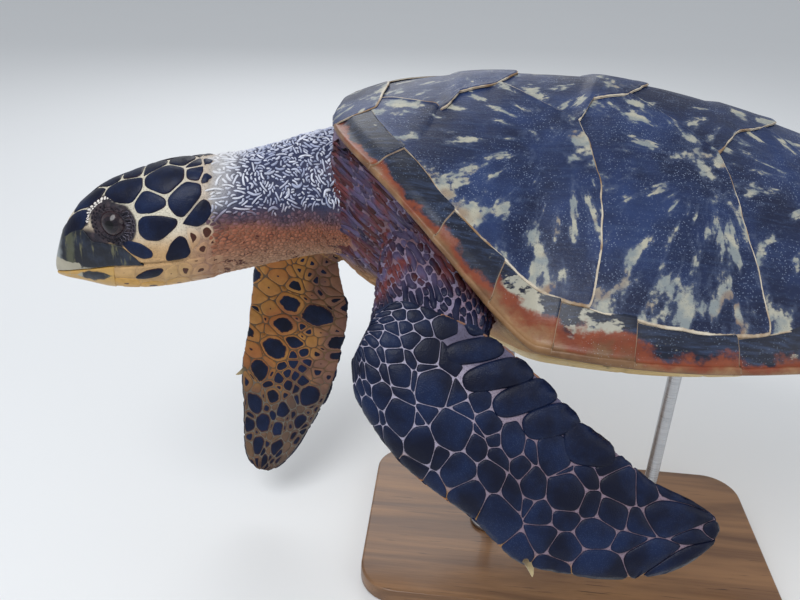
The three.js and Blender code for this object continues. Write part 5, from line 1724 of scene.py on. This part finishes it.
def around_eye(ring, count, shift=0.0):
    """Places evenly round the gap between the lids, `ring` times its size."""
    turns = [2 * math.pi * (k + shift) / count for k in range(count)]
    return [(ring * EYE_OPENING[0] * math.cos(t), ring * EYE_OPENING[1] * math.sin(t)) for t in turns]


def brow_beads(rng, side):
    """Outlines of the pale scales on a brow, in two rows."""
    brow = np.array([(at, side * head_turn(at, across, z) * HEAD_ROUND) for at, across, z in BROW])
    length = reach_along(brow)
    beads = []
    for row, (offset, long, start, stop) in enumerate(((1.2, 2.6, 0.03, 1.0), (-2.9, 1.1, 0.0, 0.62))):
        for place in np.arange(start * length[-1], stop * length[-1], 3.6 - 0.6 * row):
            middle = at_reach(brow, length, place)
            ahead = unit(at_reach(brow, length, place + 1) - middle)
            out = np.array([-ahead[1], ahead[0]]) * side
            middle = middle + (offset + rng.normal(0, 0.2)) * out
            tall, wide = long * rng.uniform(0.85, 1.15), 1.3 - 0.2 * row
            beads.append([tuple(middle + tall * u * out + wide * v * ahead) for u, v in
                          ((-1, -1), (-1, 1), (1, 1), (1, -1))])
    return beads


def dress_lids():
    """Small dark scales round the gap between the lids, and a crescent of pale ones on the brow."""
    rng = np.random.default_rng(12)
    for word, side in (("left", 1), ("right", -1)):
        seeds = []
        for ring, count, shift in ((1.17, 26, 0), (1.36, 28, 0.5), (1.56, 26, 0)):
            seeds += jittered(rng, around_eye(ring, count, shift), 0.3)
        every = seeds + around_eye(0.97, 24) + around_eye(1.8, 28)
        outlines = cells(every, np.zeros(len(every)), ((-40, 40), (-40, 40)), 0.7)[:len(seeds)]
        coat(f"lid_scales_{word}", outlines, lid_surface(side), 0.45, 0.93, lid_tone,
             crown=0.05, count=12, rings=COARSE_RINGS, within=9.0, material=LIDS)
        coat(f"brow_beads_{word}", brow_beads(rng, side), head_surface, 0.75, -0.6, bead_tone,
             crown=0.05, count=14, rings=COARSE_RINGS, within=9.0)


dress_lids()


# ---- Eyes -----------------------------------------------------------------------------------
def eye_material():
    s = Shader("eye", roughness=0.1, coat=0.25, specular=0.25)
    ring = s.value("ring")
    streaks = s.streaks((9, 9, 1), 3.0, where=s.vector("wheel"))
    iris = s.mix(s.step(streaks, 0.35, 0.7), (0.005, 0.004, 0.009), (0.020, 0.012, 0.018))
    outer = s.mix(s.step(s.noise(220), 0.35, 0.65), (0.014, 0.009, 0.014), (0.042, 0.024, 0.028))
    colour = s.mix(s.step(ring, 8.8, 9.8), iris, outer)
    colour = s.mix(s.step(ring, 5.0, 4.4), colour, (0.0015, 0.0015, 0.003))
    s.colour(colour)
    s.bump((s.noise(300, 2.0), 0.00005))
    return s.material


def eyes():
    material = eye_material()
    polar = np.concatenate([np.linspace(0.004, 0.75, 26), np.linspace(0.8, math.pi - 0.02, 20)])
    turn = np.linspace(0, 2 * math.pi, 64, endpoint=False)
    bulge = EYE_RADIUS + 0.9 * bell(polar, 0.42) - 0.3
    out = (bulge * np.cos(polar))[:, None, None] * EYE_AXIS
    flat = (bulge * np.sin(polar))[:, None, None]
    wheel = np.cos(turn)[:, None] * EYE_ONWARD + np.sin(turn)[:, None] * EYE_UP
    ring = np.concatenate([np.repeat(EYE_RADIUS * polar, len(turn)), [0, EYE_RADIUS * math.pi]])
    spin = np.tile(np.column_stack([np.cos(turn), np.sin(turn), 0 * turn]), (len(polar), 1))
    for word, side in (("left", 1), ("right", -1)):
        points, faces = closed(on_neck((EYE_AT + out + flat * wheel) * (1, side, 1)))
        if side > 0:
            faces = [face[::-1] for face in faces]
        piece = make(f"eyeball_{word}", points, faces, material, "eye")
        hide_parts(f"eye_{word}")
        give(piece, "ring", ring)
        give(piece, "wheel", np.vstack([spin, np.zeros((2, 3))]))


eyes()


# ---- Beak -----------------------------------------------------------------------------------
def beak_material():
    """Horn of the beak: near black, with yellow-grey streaks, a painted highlight in pale grey on its front,
    and a pale worn edge.
    """
    s = Shader("beak", roughness=0.36, coat=0.08, specular=0.3)
    place = s.vector("place")
    at = s.node("ShaderNodeSeparateXYZ", {0: place}).outputs[0]
    streak = s.streaks((0.17, 0.17, 0.035), 4.0, 0.65, where=place)
    cloud = s.streaks((0.06, 0.06, 0.06), 3.0, 0.6, where=place)
    dark = s.mix(s.step(cloud, 0.4, 0.7), (0.005, 0.007, 0.014), (0.016, 0.024, 0.045))
    colour = s.mix(s.step(streak, 0.55, 0.68), dark, (0.11, 0.105, 0.06))
    stripe = s.plus(at, s.swing(cloud, 12.0))
    stripe = s.times(s.step(stripe, 141, 146), s.step(stripe, 155, 150))
    colour = s.mix(s.times(stripe, 0.65), colour, (0.10, 0.105, 0.06))
    low = s.plus(s.value("edge"), s.times(streak, 0.8))
    # Painted highlight: pale grey over the front of the beak.
    front = s.plus(at, s.swing(cloud, 10.0))
    colour = s.mix(s.times(s.step(front, 156, 163), 0.85), colour, (0.25, 0.28, 0.29))
    colour = s.mix(s.step(low, 0.80, 1.02), colour, s.mix(cloud, (0.27, 0.25, 0.19), (0.46, 0.43, 0.34)))
    base = s.times(s.value("gold"), s.step(s.plus(s.value("stripe"), streak), 0.9, 0.6))
    colour = s.mix(base, colour, s.mix(cloud, (0.44, 0.25, 0.06), (0.58, 0.36, 0.11)))
    s.colour(colour)
    s.rough(streak, 0.2, 0.26)
    s.bump((streak, 0.00025), (s.noise(500), 0.00012))
    return s.material


def prism(outline):
    """A block wider than the head, with its outline given from the side."""
    count = len(outline)
    points = [on_neck((x, y, z)) for y in (-90, 90) for x, z in outline]
    faces = [tuple(range(count)), tuple(range(2 * count - 1, count - 1, -1))]
    faces += [(j, j + count, (j + 1) % count + count, (j + 1) % count) for j in range(count)]
    return points, faces


def horn_from(name, node, outline, grow, material):
    """A sheath: the part of a slightly enlarged skull inside an outline seen from the side."""
    points, faces = closed(head_rings(grow))
    piece = make(name, points, faces, material, "beak")
    mesh = bpy.data.meshes.new("cutter")
    cut_points, cut_faces = prism(outline)
    mesh.from_pydata(to_row(cut_points).tolist(), [], cut_faces)
    mesh.validate()
    cutter = put_in_scene("cutter", mesh)
    for target in (piece.data, mesh):
        work = bmesh.new()
        work.from_mesh(target)
        bmesh.ops.recalc_face_normals(work, faces=work.faces)
        work.to_mesh(target)
        work.free()
    common = piece.modifiers.new("common", "BOOLEAN")
    common.operation = "INTERSECT"
    common.object = cutter
    common.solver = "EXACT"
    even(piece, BEAK_VOXEL, 0.5, 5)
    bpy.data.objects.remove(cutter)
    bpy.data.meshes.remove(mesh)
    smooth(piece.data)
    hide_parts(node)
    return piece


def beak():
    material = beak_material()
    front = [(x, z) for x, z in MOUTH if x > 70]
    upper = UPPER_BEAK + [(x, z + 0.5) for x, z in front]
    lower = LOWER_BEAK + [(x, z - 0.7) for x, z in front[::-1]]
    for word, outline, grow, is_lower in (("upper", upper, 0.5, False), ("lower", lower, 0.1, True)):
        piece = horn_from(f"beak_horn_{word}", f"beak_{word}", outline, grow, material)
        where = shell_points(piece.data)
        head = off_neck(where)
        mouth = mouth_distance(head)
        away = np.linalg.norm((np.abs(head) * (1, 1, 0) + head * (0, 0, 1) - NOSTRIL) * (1, 1, 1.3), axis=1)
        nose = (0.5 * bell(away - 3.8, 1.2) - 2.6 * bell(away, 2.1)) * (not is_lower)
        move = normals(piece.data) * (nose + 0.12 * fractal(where, 5, 2))[:, None]
        set_points(piece.data, where + move)
        give(piece, "place", head)
        edge = np.exp(-mouth / (3.5 if is_lower else 5.0)) * smoothstep(head[:, 0], 90, 150)
        foot = smoothstep(head[:, 0], 128, 146) * smoothstep(-head[:, 2] + 5 * fractal(where, 9, 2), 22, 33)
        give(piece, "edge", np.maximum(edge, foot * (0.7 if is_lower else 0.95)))
        give(piece, "gold", np.full(len(head), float(is_lower)))
        centre = -44 + 0.13 * (130 - head[:, 0])
        reach = 1 - np.minimum(np.abs(head[:, 0] - 127) / 19, 1) ** 2
        give(piece, "stripe", 1.15 * bell(head[:, 2] - centre, np.maximum(5.5 * reach, 0.1)))


beak()


# ---- Small scales of the neck and shoulders -------------------------------------------------
AROUND = 62.0
NECK_STEP = 42.4
ARM_AROUND = 50.0
ARM_STEP = 40.0
LINE_POINTS = 9


def neck_surface(x, y):
    return tube_point(NECK, ACROSS, x / NECK_STEP, y / AROUND, -COAT)


def own_shares(seed, keep, size):
    """One random share for each scale, given to all of its points."""
    return np.random.default_rng(seed).uniform(0, 1, len(keep))[:, None].repeat(size, 1).ravel()


def ridge_tone(points, keep, size):
    own = own_shares(20, keep, size)
    height = neck_height(points)
    pale = blend(own, (0.34, 0.38, 0.54), (0.72, 0.75, 0.86))
    at_head = (1 - smoothstep(points[:, 0], -118, -72)) * smoothstep(height, -4, 22)
    pale = blend(0.7 * at_head, pale, (0.78, 0.78, 0.77))
    low = blend(own, (0.10, 0.07, 0.11), (0.34, 0.27, 0.34))
    return blend(smoothstep(height, -8, 14), low, pale)


def neck_tone(points, keep, size):
    own = own_shares(21, keep, size)
    height = neck_height(points)
    low = blend(smoothstep(-height, 22, 72), (0.29, 0.100, 0.055), (0.46, 0.28, 0.18))
    low = low * (0.84 + 0.32 * own)[:, None]
    spot = smoothstep(fractal(points, 9, 2), 0.32, 0.42)
    low = blend(spot, low, (0.08, 0.022, 0.018))
    middle = blend(own, (0.05, 0.03, 0.05), (0.17, 0.10, 0.13))
    return blend(smoothstep(height, -26, -8), low, middle)


def worm_lines(rng, box, most, apart, longest, turn_at, bend, shortest=0.1):
    """Short middle lines that lie side by side, each turned as `turn_at` says for its place."""
    shares = np.linspace(-1, 1, LINE_POINTS)
    lines = np.zeros((0, LINE_POINTS, 2))
    for x, y in zip(rng.uniform(*box[0], most), rng.uniform(*box[1], most)):
        turn, curve = turn_at(x, y), rng.normal(0, bend)
        c, s = math.cos(turn), math.sin(turn)
        for half in (rng.uniform(0.5, 1) * longest, 0.38 * longest, shortest * longest):
            aside = half * curve * (shares ** 2 - 0.4)
            line = (x, y) + half * shares[:, None] * (c, s) + aside[:, None] * (-s, c)
            near = lines[np.abs(lines[:, LINE_POINTS // 2] - (x, y)).max(1) < 2 * longest + apart]
            gaps = np.linalg.norm(near[:, :, None] - line, axis=-1)
            if not gaps.size or gaps.min() > apart:
                lines = np.concatenate([lines, line[None]])
                break
    return lines


def worm_outlines(lines, gap, widest, neighbours):
    """For each line the strip that is nearer to it than to any other, at most `widest` to a side."""
    middles = lines[:, LINE_POINTS // 2]
    tree = tree_of(middles)
    ends = np.radians([45, 90, 135])[:, None]
    outlines = []
    for i, line in enumerate(lines):
        near = [k for _, k, _ in tree.find_n((*middles[i], 0), neighbours) if k != i]
        run = unit(np.gradient(line, axis=0))
        side = np.column_stack([-run[:, 1], run[:, 0]])
        tip = np.cos(ends) * side[-1] + np.sin(ends) * run[-1]
        tail = -np.cos(ends) * side[0] - np.sin(ends) * run[0]
        rays = np.vstack([side, tip, -side[::-1], tail])
        starts = np.vstack([line, line[[-1] * 3], line[::-1], line[[0] * 3]])
        away = lines[near].reshape(-1, 2) - starts[:, None]
        ahead = (away * rays[:, None]).sum(-1)
        reach = np.where(ahead > 1e-6, (away ** 2).sum(-1) / np.maximum(2 * ahead, 1e-6), 1e9).min(1)
        reach = np.clip(reach - gap / 2, 0.2, widest)
        outlines.append((starts + rays * reach[:, None])[::-1])
    return outlines


def dress_neck():
    rng = np.random.default_rng(22)
    half_way = math.pi * AROUND

    def turn_at(x, y):
        return 0.5 + 2.6 * value_noise(np.array([x / 17, y / 17, 3.5])) + rng.normal(0, 0.45)

    upper = (-(math.pi - 0.1) * AROUND, -0.1 * AROUND)
    lines = worm_lines(rng, ((2, 211.5), upper), 11000, 1.9, 7.5, turn_at, 0.35, 0.18)
    middles = neck_surface(*lines[:, LINE_POINTS // 2].T)
    pale = (neck_height(middles) > -3) & (off_neck(middles)[:, 0] < -3)
    outlines = only(worm_outlines(lines, 0.7, 0.92, 26), pale)
    coat("neck_ridges", outlines, neck_surface, rng.uniform(0.8, 1.4, len(lines)), -0.6, ridge_tone,
         rings=COARSE_RINGS, count=12, slot="skin")
    seeds = hex_field(rng, ((14, 206), (-half_way, half_way)), 4.6, 3.4, 0.27)
    outlines = cells(seeds, rng.uniform(0, 6, len(seeds)), ((10, 207), (-200, 200)), 0.8, period=2 * half_way)
    coat("neck_scales", only(outlines, neck_height(neck_surface(*seeds.T)) < -1), neck_surface, 0.4, -0.6,
         neck_tone, rings=COARSE_RINGS, count=8, slot="skin")


def fold_tone(points, keep, size):
    own = own_shares(23, keep, size)
    mottle = fractal(points, 22, 2)
    red = blend(own, (0.045, 0.012, 0.014), (0.17, 0.045, 0.045))
    violet = blend(own, (0.016, 0.013, 0.035), (0.10, 0.08, 0.16))
    tone = blend(smoothstep(mottle + 0.4 * (own - 0.5), -0.2, 0.2), red, violet)
    belly_side = smoothstep(-points[:, 2] + 10 * mottle, 18, 50)
    return blend(belly_side, tone, (0.34, 0.19, 0.09))


def dress_trunk_front(name, side, seed):
    """Long scales on the folds between neck, flipper and shell, along the shell's edge."""
    rng = np.random.default_rng(seed)
    tall, wall = 150.0, 34.0
    lines = worm_lines(rng, ((6, 124), (2, tall + wall)), 2600, 3.4, 20.0,
                       lambda x, y: rng.normal(0, 0.1), 0.12)

    def surface(x, w):
        x = np.maximum(x, TRUNK_START)
        share = FLAT_BELLY + (1 - FLAT_BELLY) * np.clip(w / tall, 0, 1) ** (1 / BELLY_SWEEP)
        y = side * share * (along(TRUNK_BREADTH, x / SHELL_LENGTH) - COAT)
        low = belly(x, y) + COAT
        high = dome(x, y) - UNDER_SCUTES - TUCK - NAPE_DROP * smoothstep(x, *NAPE) - COAT
        rise = smoothstep(w, tall, tall + wall)
        return np.stack([x, y, lerp(low, np.maximum(high, low + 4), rise)], -1)

    outlines = worm_outlines(lines, 0.8, 3.2, 34)
    coat(name, outlines, surface, rng.uniform(1.0, 2.0, len(lines)), -0.6, fold_tone,
         rings=COARSE_RINGS, count=22, slot="skin", soft=0.16)


def shoulder_tone(points, keep, size):
    tone = fold_tone(points, keep, size)
    own = own_shares(27, keep, size)
    near_blade = smoothstep(-points[:, 1] + 6 * own, 214, 234)
    return blend(near_blade, tone, (0.012, 0.014, 0.040))


def dress_arm(name, table, flat, seed, lean, end):
    """Long slanting scales on the shoulder, then rows of small ones before the blade."""
    rng = np.random.default_rng(seed)
    half_way = math.pi * ARM_AROUND
    lines = worm_lines(rng, ((-2, end - 30), (-half_way / 2, 1.5 * half_way)), 3600, 3.3, 15.0,
                       lambda x, y: lean + rng.normal(0, 0.12), 0.12)
    seeds = hex_field(rng, ((end - 26, end), (-half_way, half_way)), 7.6, 6.4, 0.2)
    box = ((end - 30, end + 4), (-200, 200))
    small = cells(seeds, rng.uniform(0, 6, len(seeds)), box, 0.8, period=2 * half_way)

    def surface(x, y):
        return tube_point(table, flat, x / ARM_STEP, y / ARM_AROUND, -COAT)

    height = np.concatenate([rng.uniform(0.9, 1.8, len(lines)), np.full(len(small), 0.9)])
    coat(name, worm_outlines(lines, 0.8, 3.0, 34) + small, surface, height, -0.6, shoulder_tone,
         rings=COARSE_RINGS, count=18, slot="skin", soft=0.16, within=2.8)


dress_neck()
dress_arm("shoulder_scales_left", LEFT_ARM, LEFT_FLAT, 24, -0.6, 150)
dress_arm("shoulder_scales_right", RIGHT_ARM, RIGHT_FLAT, 25, 0.6, 176)
dress_trunk_front("fold_scales_left", -1, 28)
dress_trunk_front("fold_scales_right", 1, 29)


# ---- Claws ----------------------------------------------------------------------------------
def claw_material():
    s = Shader("claw", roughness=0.35, coat=0.1, specular=0.4)
    length = s.value("run")
    streak = s.streaks((300, 300, 300), 3.0, 0.6)
    colour = s.mix(s.step(s.plus(length, s.times(streak, 0.4)), 0.3, 1.1),
                   (0.10, 0.065, 0.03), (0.42, 0.33, 0.17))
    s.colour(colour)
    s.bump((streak, 0.0001))
    return s.material


CLAW = claw_material()
CLAW_SINK = 7


def claw(name, shape, at, node=None):
    root, forward, leading, upper = blade_frame(shape)
    edge = float(along(shape["bow"], at) + along(column(shape["stations"], 1), at))
    foot = root + forward * at + leading * (edge - CLAW_SINK) + upper * dip_at(shape, at)
    t = np.linspace(0, 1, 22)
    lean = np.radians(CLAW_LEAN - 14 + 34 * t)[:, None]
    walk = np.cumsum((CLAW_LENGTH + 2) / 21 * (np.cos(lean) * forward + np.sin(lean) * leading), 0)
    centre = foot + np.vstack([[0, 0, 0], walk[:-1]])
    radius = CLAW_RADIUS * (1 - t ** 1.7) ** 0.8 * (0.9 + 0.25 * bell(t - 0.12, 0.12)) + 0.12
    turn = np.linspace(0, 2 * math.pi, 26, endpoint=False)[:, None]
    side = unit(np.cross(unit(np.gradient(centre, axis=0)), upper))
    ring = side[:, None] * np.cos(turn) + 0.8 * upper * np.sin(turn)
    points, faces = closed(centre[:, None] + radius[:, None, None] * ring)
    piece = make(name, points, faces, CLAW, "claw")
    give(piece, "run", np.concatenate([np.repeat(t, len(turn)), [0, 1]]))
    if node:
        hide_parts(node)


claw("claw_horn_left", LEFT_BLADE, FORE_CLAW_AT, "claw_front_left")
claw("claw_horn_right", RIGHT_BLADE, FORE_CLAW_AT, "claw_front_right")
claw("claw_horn_hind_left", LEFT_PADDLE, HIND_CLAW_AT)
claw("claw_horn_hind_right", RIGHT_PADDLE, HIND_CLAW_AT)


# ---- Plastron -------------------------------------------------------------------------------
PLASTRON_SINK = 4
PLASTRON_THICKNESS = 8
PLASTRON_SEAMS = [0.175, 0.27, 0.42, 0.555, 0.675, 0.785]


def plastron_material():
    s = Shader("plastron", roughness=0.45, coat=0.08, specular=0.35)
    cloud = s.noise(14, 4.0)
    lines = s.streaks((30, 160, 160), 4.0, 0.7)
    colour = s.mix(s.step(cloud, 0.35, 0.7), (0.62, 0.45, 0.20), (0.74, 0.62, 0.38))
    colour = s.mix(s.times(s.step(lines, 0.5, 0.8), 0.4), colour, (0.40, 0.24, 0.09))
    smudge = s.times(s.step(s.noise(22, 4.0, 0.65), 0.62, 0.72), s.value("smudge"))
    colour = s.mix(smudge, colour, (0.06, 0.04, 0.03))
    colour = s.mix(s.value("seam"), colour, (0.30, 0.19, 0.09))
    s.colour(colour)
    s.bump((lines, 0.0003), (s.noise(300), 0.0002))
    return s.material


def both_faces(values):
    """Values of a grid for the points under it and over it, and 0 for the two hubs of its loft."""
    return np.concatenate([np.concatenate([values, values[:, ::-1]], 1).ravel(), [0, 0]])


def plastron():
    first, last = PLASTRON[0][0], PLASTRON[-1][0]
    t = np.linspace(first, last, 190)
    share = np.linspace(-1, 1, 141)
    x = (t * SHELL_LENGTH)[:, None] * np.ones(len(share))
    half = along(PLASTRON, t)[:, None]
    y = share * half
    seam = np.abs(y + 2.2 * np.sin(x / 31))
    for k, place in enumerate(PLASTRON_SEAMS):
        bend = place * SHELL_LENGTH + (10 if k % 2 else -8) * np.cos(y / 60) + 3 * np.sin(np.abs(y) / 17)
        seam = np.minimum(seam, np.abs(x - bend))
    bridge = np.abs(np.abs(y) - 96 - 5 * np.sin(x / 40))
    seam = np.where(half > 105, np.minimum(seam, bridge), seam)
    edge = np.minimum((1 - np.abs(share)) * half, np.minimum(t - first, last - t)[:, None] * SHELL_LENGTH)
    base = belly(x, y)
    low = base - PLASTRON_THICKNESS + 1.2 * bell(seam, 1.5) + 3.2 * (1 - smoothstep(edge, 0, 7)) ** 2
    low = low - 0.5 * plane_noise(x, y, 60, 2) * smoothstep(edge, 2, 20)
    high = np.maximum(base + PLASTRON_SINK, low + 1)
    under, over = np.stack([x, y, low], -1), np.stack([x, y, high], -1)
    points, faces = closed(np.concatenate([under, over[:, ::-1]], 1))
    piece = make("plastron_horn", points, faces, plastron_material(), "plastron")
    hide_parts("plastron")
    give(piece, "seam", both_faces(bell(seam, 1.1)))
    give(piece, "smudge", both_faces(smoothstep(np.abs(y), 60, 150)))


plastron()


# ---- Stand ----------------------------------------------------------------------------------
BASE_CORNER = 46
BASE_EDGE = 3.0


def wood_material():
    s = Shader("stand_wood", roughness=0.4, coat=0.3, specular=0.4)
    grain = s.streaks((2.2, 34, 60), 5.0, 0.6, distortion=0.6)
    pores = s.streaks((14, 420, 420), 3.0, 0.6)
    colour = s.mix(s.step(grain, 0.3, 0.72), (0.10, 0.045, 0.02), (0.26, 0.135, 0.06))
    colour = s.mix(s.step(pores, 0.62, 0.72), colour, (0.05, 0.022, 0.01))
    s.colour(colour)
    s.rough(grain, 0.2, 0.3)
    s.bump((pores, 0.0002), (grain, 0.0003))
    return s.material


def steel_material():
    s = Shader("stand_steel", roughness=0.3, metallic=1.0)
    brushed = s.streaks((40, 40, 900), 3.0, 0.6)
    s.colour(s.mix(s.step(brushed, 0.3, 0.7), (0.42, 0.43, 0.45), (0.56, 0.57, 0.59)))
    s.rough(brushed, 0.2, 0.2)
    s.bump((brushed, 0.00005))
    return s.material


def from_millimetres(points):
    return np.asarray(points, float) / 1000


def base_board():
    """The wooden base: a rounded rectangle with its upper and lower edges rounded over."""
    low, high = np.array(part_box("stand_base")) * 1000
    half, tall = (high - low)[:2] / 2, (high - low)[2]
    corner = half - BASE_CORNER
    turn = np.linspace(0, math.pi / 2, 12)
    profile = [(BASE_EDGE * (1 - math.sin(a)), BASE_EDGE * (1 - math.cos(a)))
               for a in np.linspace(0, math.pi / 2, 7)]
    rings = []
    for inset, z in profile + [(inset, tall - z) for inset, z in profile[::-1]]:
        ring = []
        for quarter, signs in enumerate(((1, 1), (-1, 1), (-1, -1), (1, -1))):
            for angle in turn + quarter * math.pi / 2:
                way = np.array([math.cos(angle), math.sin(angle)])
                ring.append((*(signs * corner + (BASE_CORNER - inset) * way), z))
        rings.append(ring)
    return np.array(rings)


def post(low, high):
    """A steel rod with a foot and a head, turned round its own line."""
    centre = (low + high)[:2] / 2
    foot, top = low[2], high[2]
    outline = [(23.2, foot), (24, foot + 0.8), (24, foot + 5.2), (23.2, foot + 6), (12, foot + 7.6),
               (9, foot + 9.2), (8, foot + 12), (8, top - 17), (8.8, top - 14.5), (13, top - 11),
               (24.6, top - 6.2), (26, top - 5), (26, top - 0.8), (25.2, top)]
    angles = np.linspace(0, 2 * math.pi, 64, endpoint=False)
    return np.array([[(centre[0] + r * math.cos(a), centre[1] + r * math.sin(a), z) for a in angles]
                     for r, z in outline])


def stand():
    points, faces = closed(base_board())
    base = make("stand_board", points, faces, wood_material(), "stand_wood", from_millimetres)
    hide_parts("stand_base")
    steel = steel_material()
    for name in ("front", "rear"):
        points, faces = closed(post(*np.array(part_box(f"stand_rod_{name}")) * 1000))
        rod = make(f"stand_post_{name}", points, faces, steel, "stand_steel", from_millimetres)
        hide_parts(f"stand_rod_{name}")


stand()


# ---- Stage, light and camera ----------------------------------------------------------------
FLOOR_REACH = 14
LAMPS_AIM = (0, 0, 0.4)
CAMERA_AT = (-0.1759, -0.8374, 0.778)
CAMERA_TURN = 3.93
CAMERA_DROP = 27.29
CAMERA_ROLL = 2.715
CAMERA_LENS = 36.05


def stage_material(name, colour):
    s = Shader(name, roughness=0.9, specular=0.1)
    s.colour(s.mix(s.noise(3.0, 2.0), colour, tuple(0.985 * c for c in colour)))
    return s.material


def floor():
    mesh = bpy.data.meshes.new("floor")
    corners = [(x * FLOOR_REACH, y * FLOOR_REACH, 0) for x, y in ((-1, -1), (1, -1), (1, 1), (-1, 1))]
    mesh.from_pydata(corners, [], [(0, 1, 2, 3)])
    mesh.materials.append(stage_material("pale_floor", (0.80, 0.82, 0.84)))
    put_in_scene("floor", mesh)


def lamp(name, at, size, power):
    light = bpy.data.lights.new(name, "AREA")
    light.shape = "DISK"
    light.size = size
    light.energy = power
    piece = put_in_scene(name, light)
    piece.location = at
    piece.rotation_euler = (Vector(LAMPS_AIM) - Vector(at)).to_track_quat("-Z", "Y").to_euler()


def camera():
    lens = bpy.data.cameras.new("camera")
    lens.lens = CAMERA_LENS
    lens.sensor_width = 36
    lens.clip_start = 0.02
    a, e, r = map(math.radians, (CAMERA_TURN, CAMERA_DROP, CAMERA_ROLL))
    back = Vector((math.sin(a) * math.cos(e), -math.cos(a) * math.cos(e), math.sin(e)))
    right = Vector((math.cos(a), math.sin(a), 0))
    up = back.cross(right)
    rolled = (right * math.cos(r) + up * math.sin(r), up * math.cos(r) - right * math.sin(r), back)
    eye = put_in_scene("camera", lens)
    eye.matrix_world = Matrix.Translation(CAMERA_AT) @ Matrix(rolled).transposed().to_4x4()
    bpy.context.scene.camera = eye


floor()
lamp("key", (-0.9, -1.6, 2.6), 1.6, 46)
lamp("fill", (2.2, -1.4, 1.6), 2.4, 16)
lamp("back", (-0.6, 2.2, 2.0), 2.0, 22)
camera()

world = bpy.data.worlds.new("studio")
world.use_nodes = True
world.node_tree.nodes["Background"].inputs["Color"].default_value = (0.93, 0.96, 1.0, 1)
world.node_tree.nodes["Background"].inputs["Strength"].default_value = 0.55
bpy.context.scene.world = world
bpy.context.scene.view_settings.view_transform = "Standard"
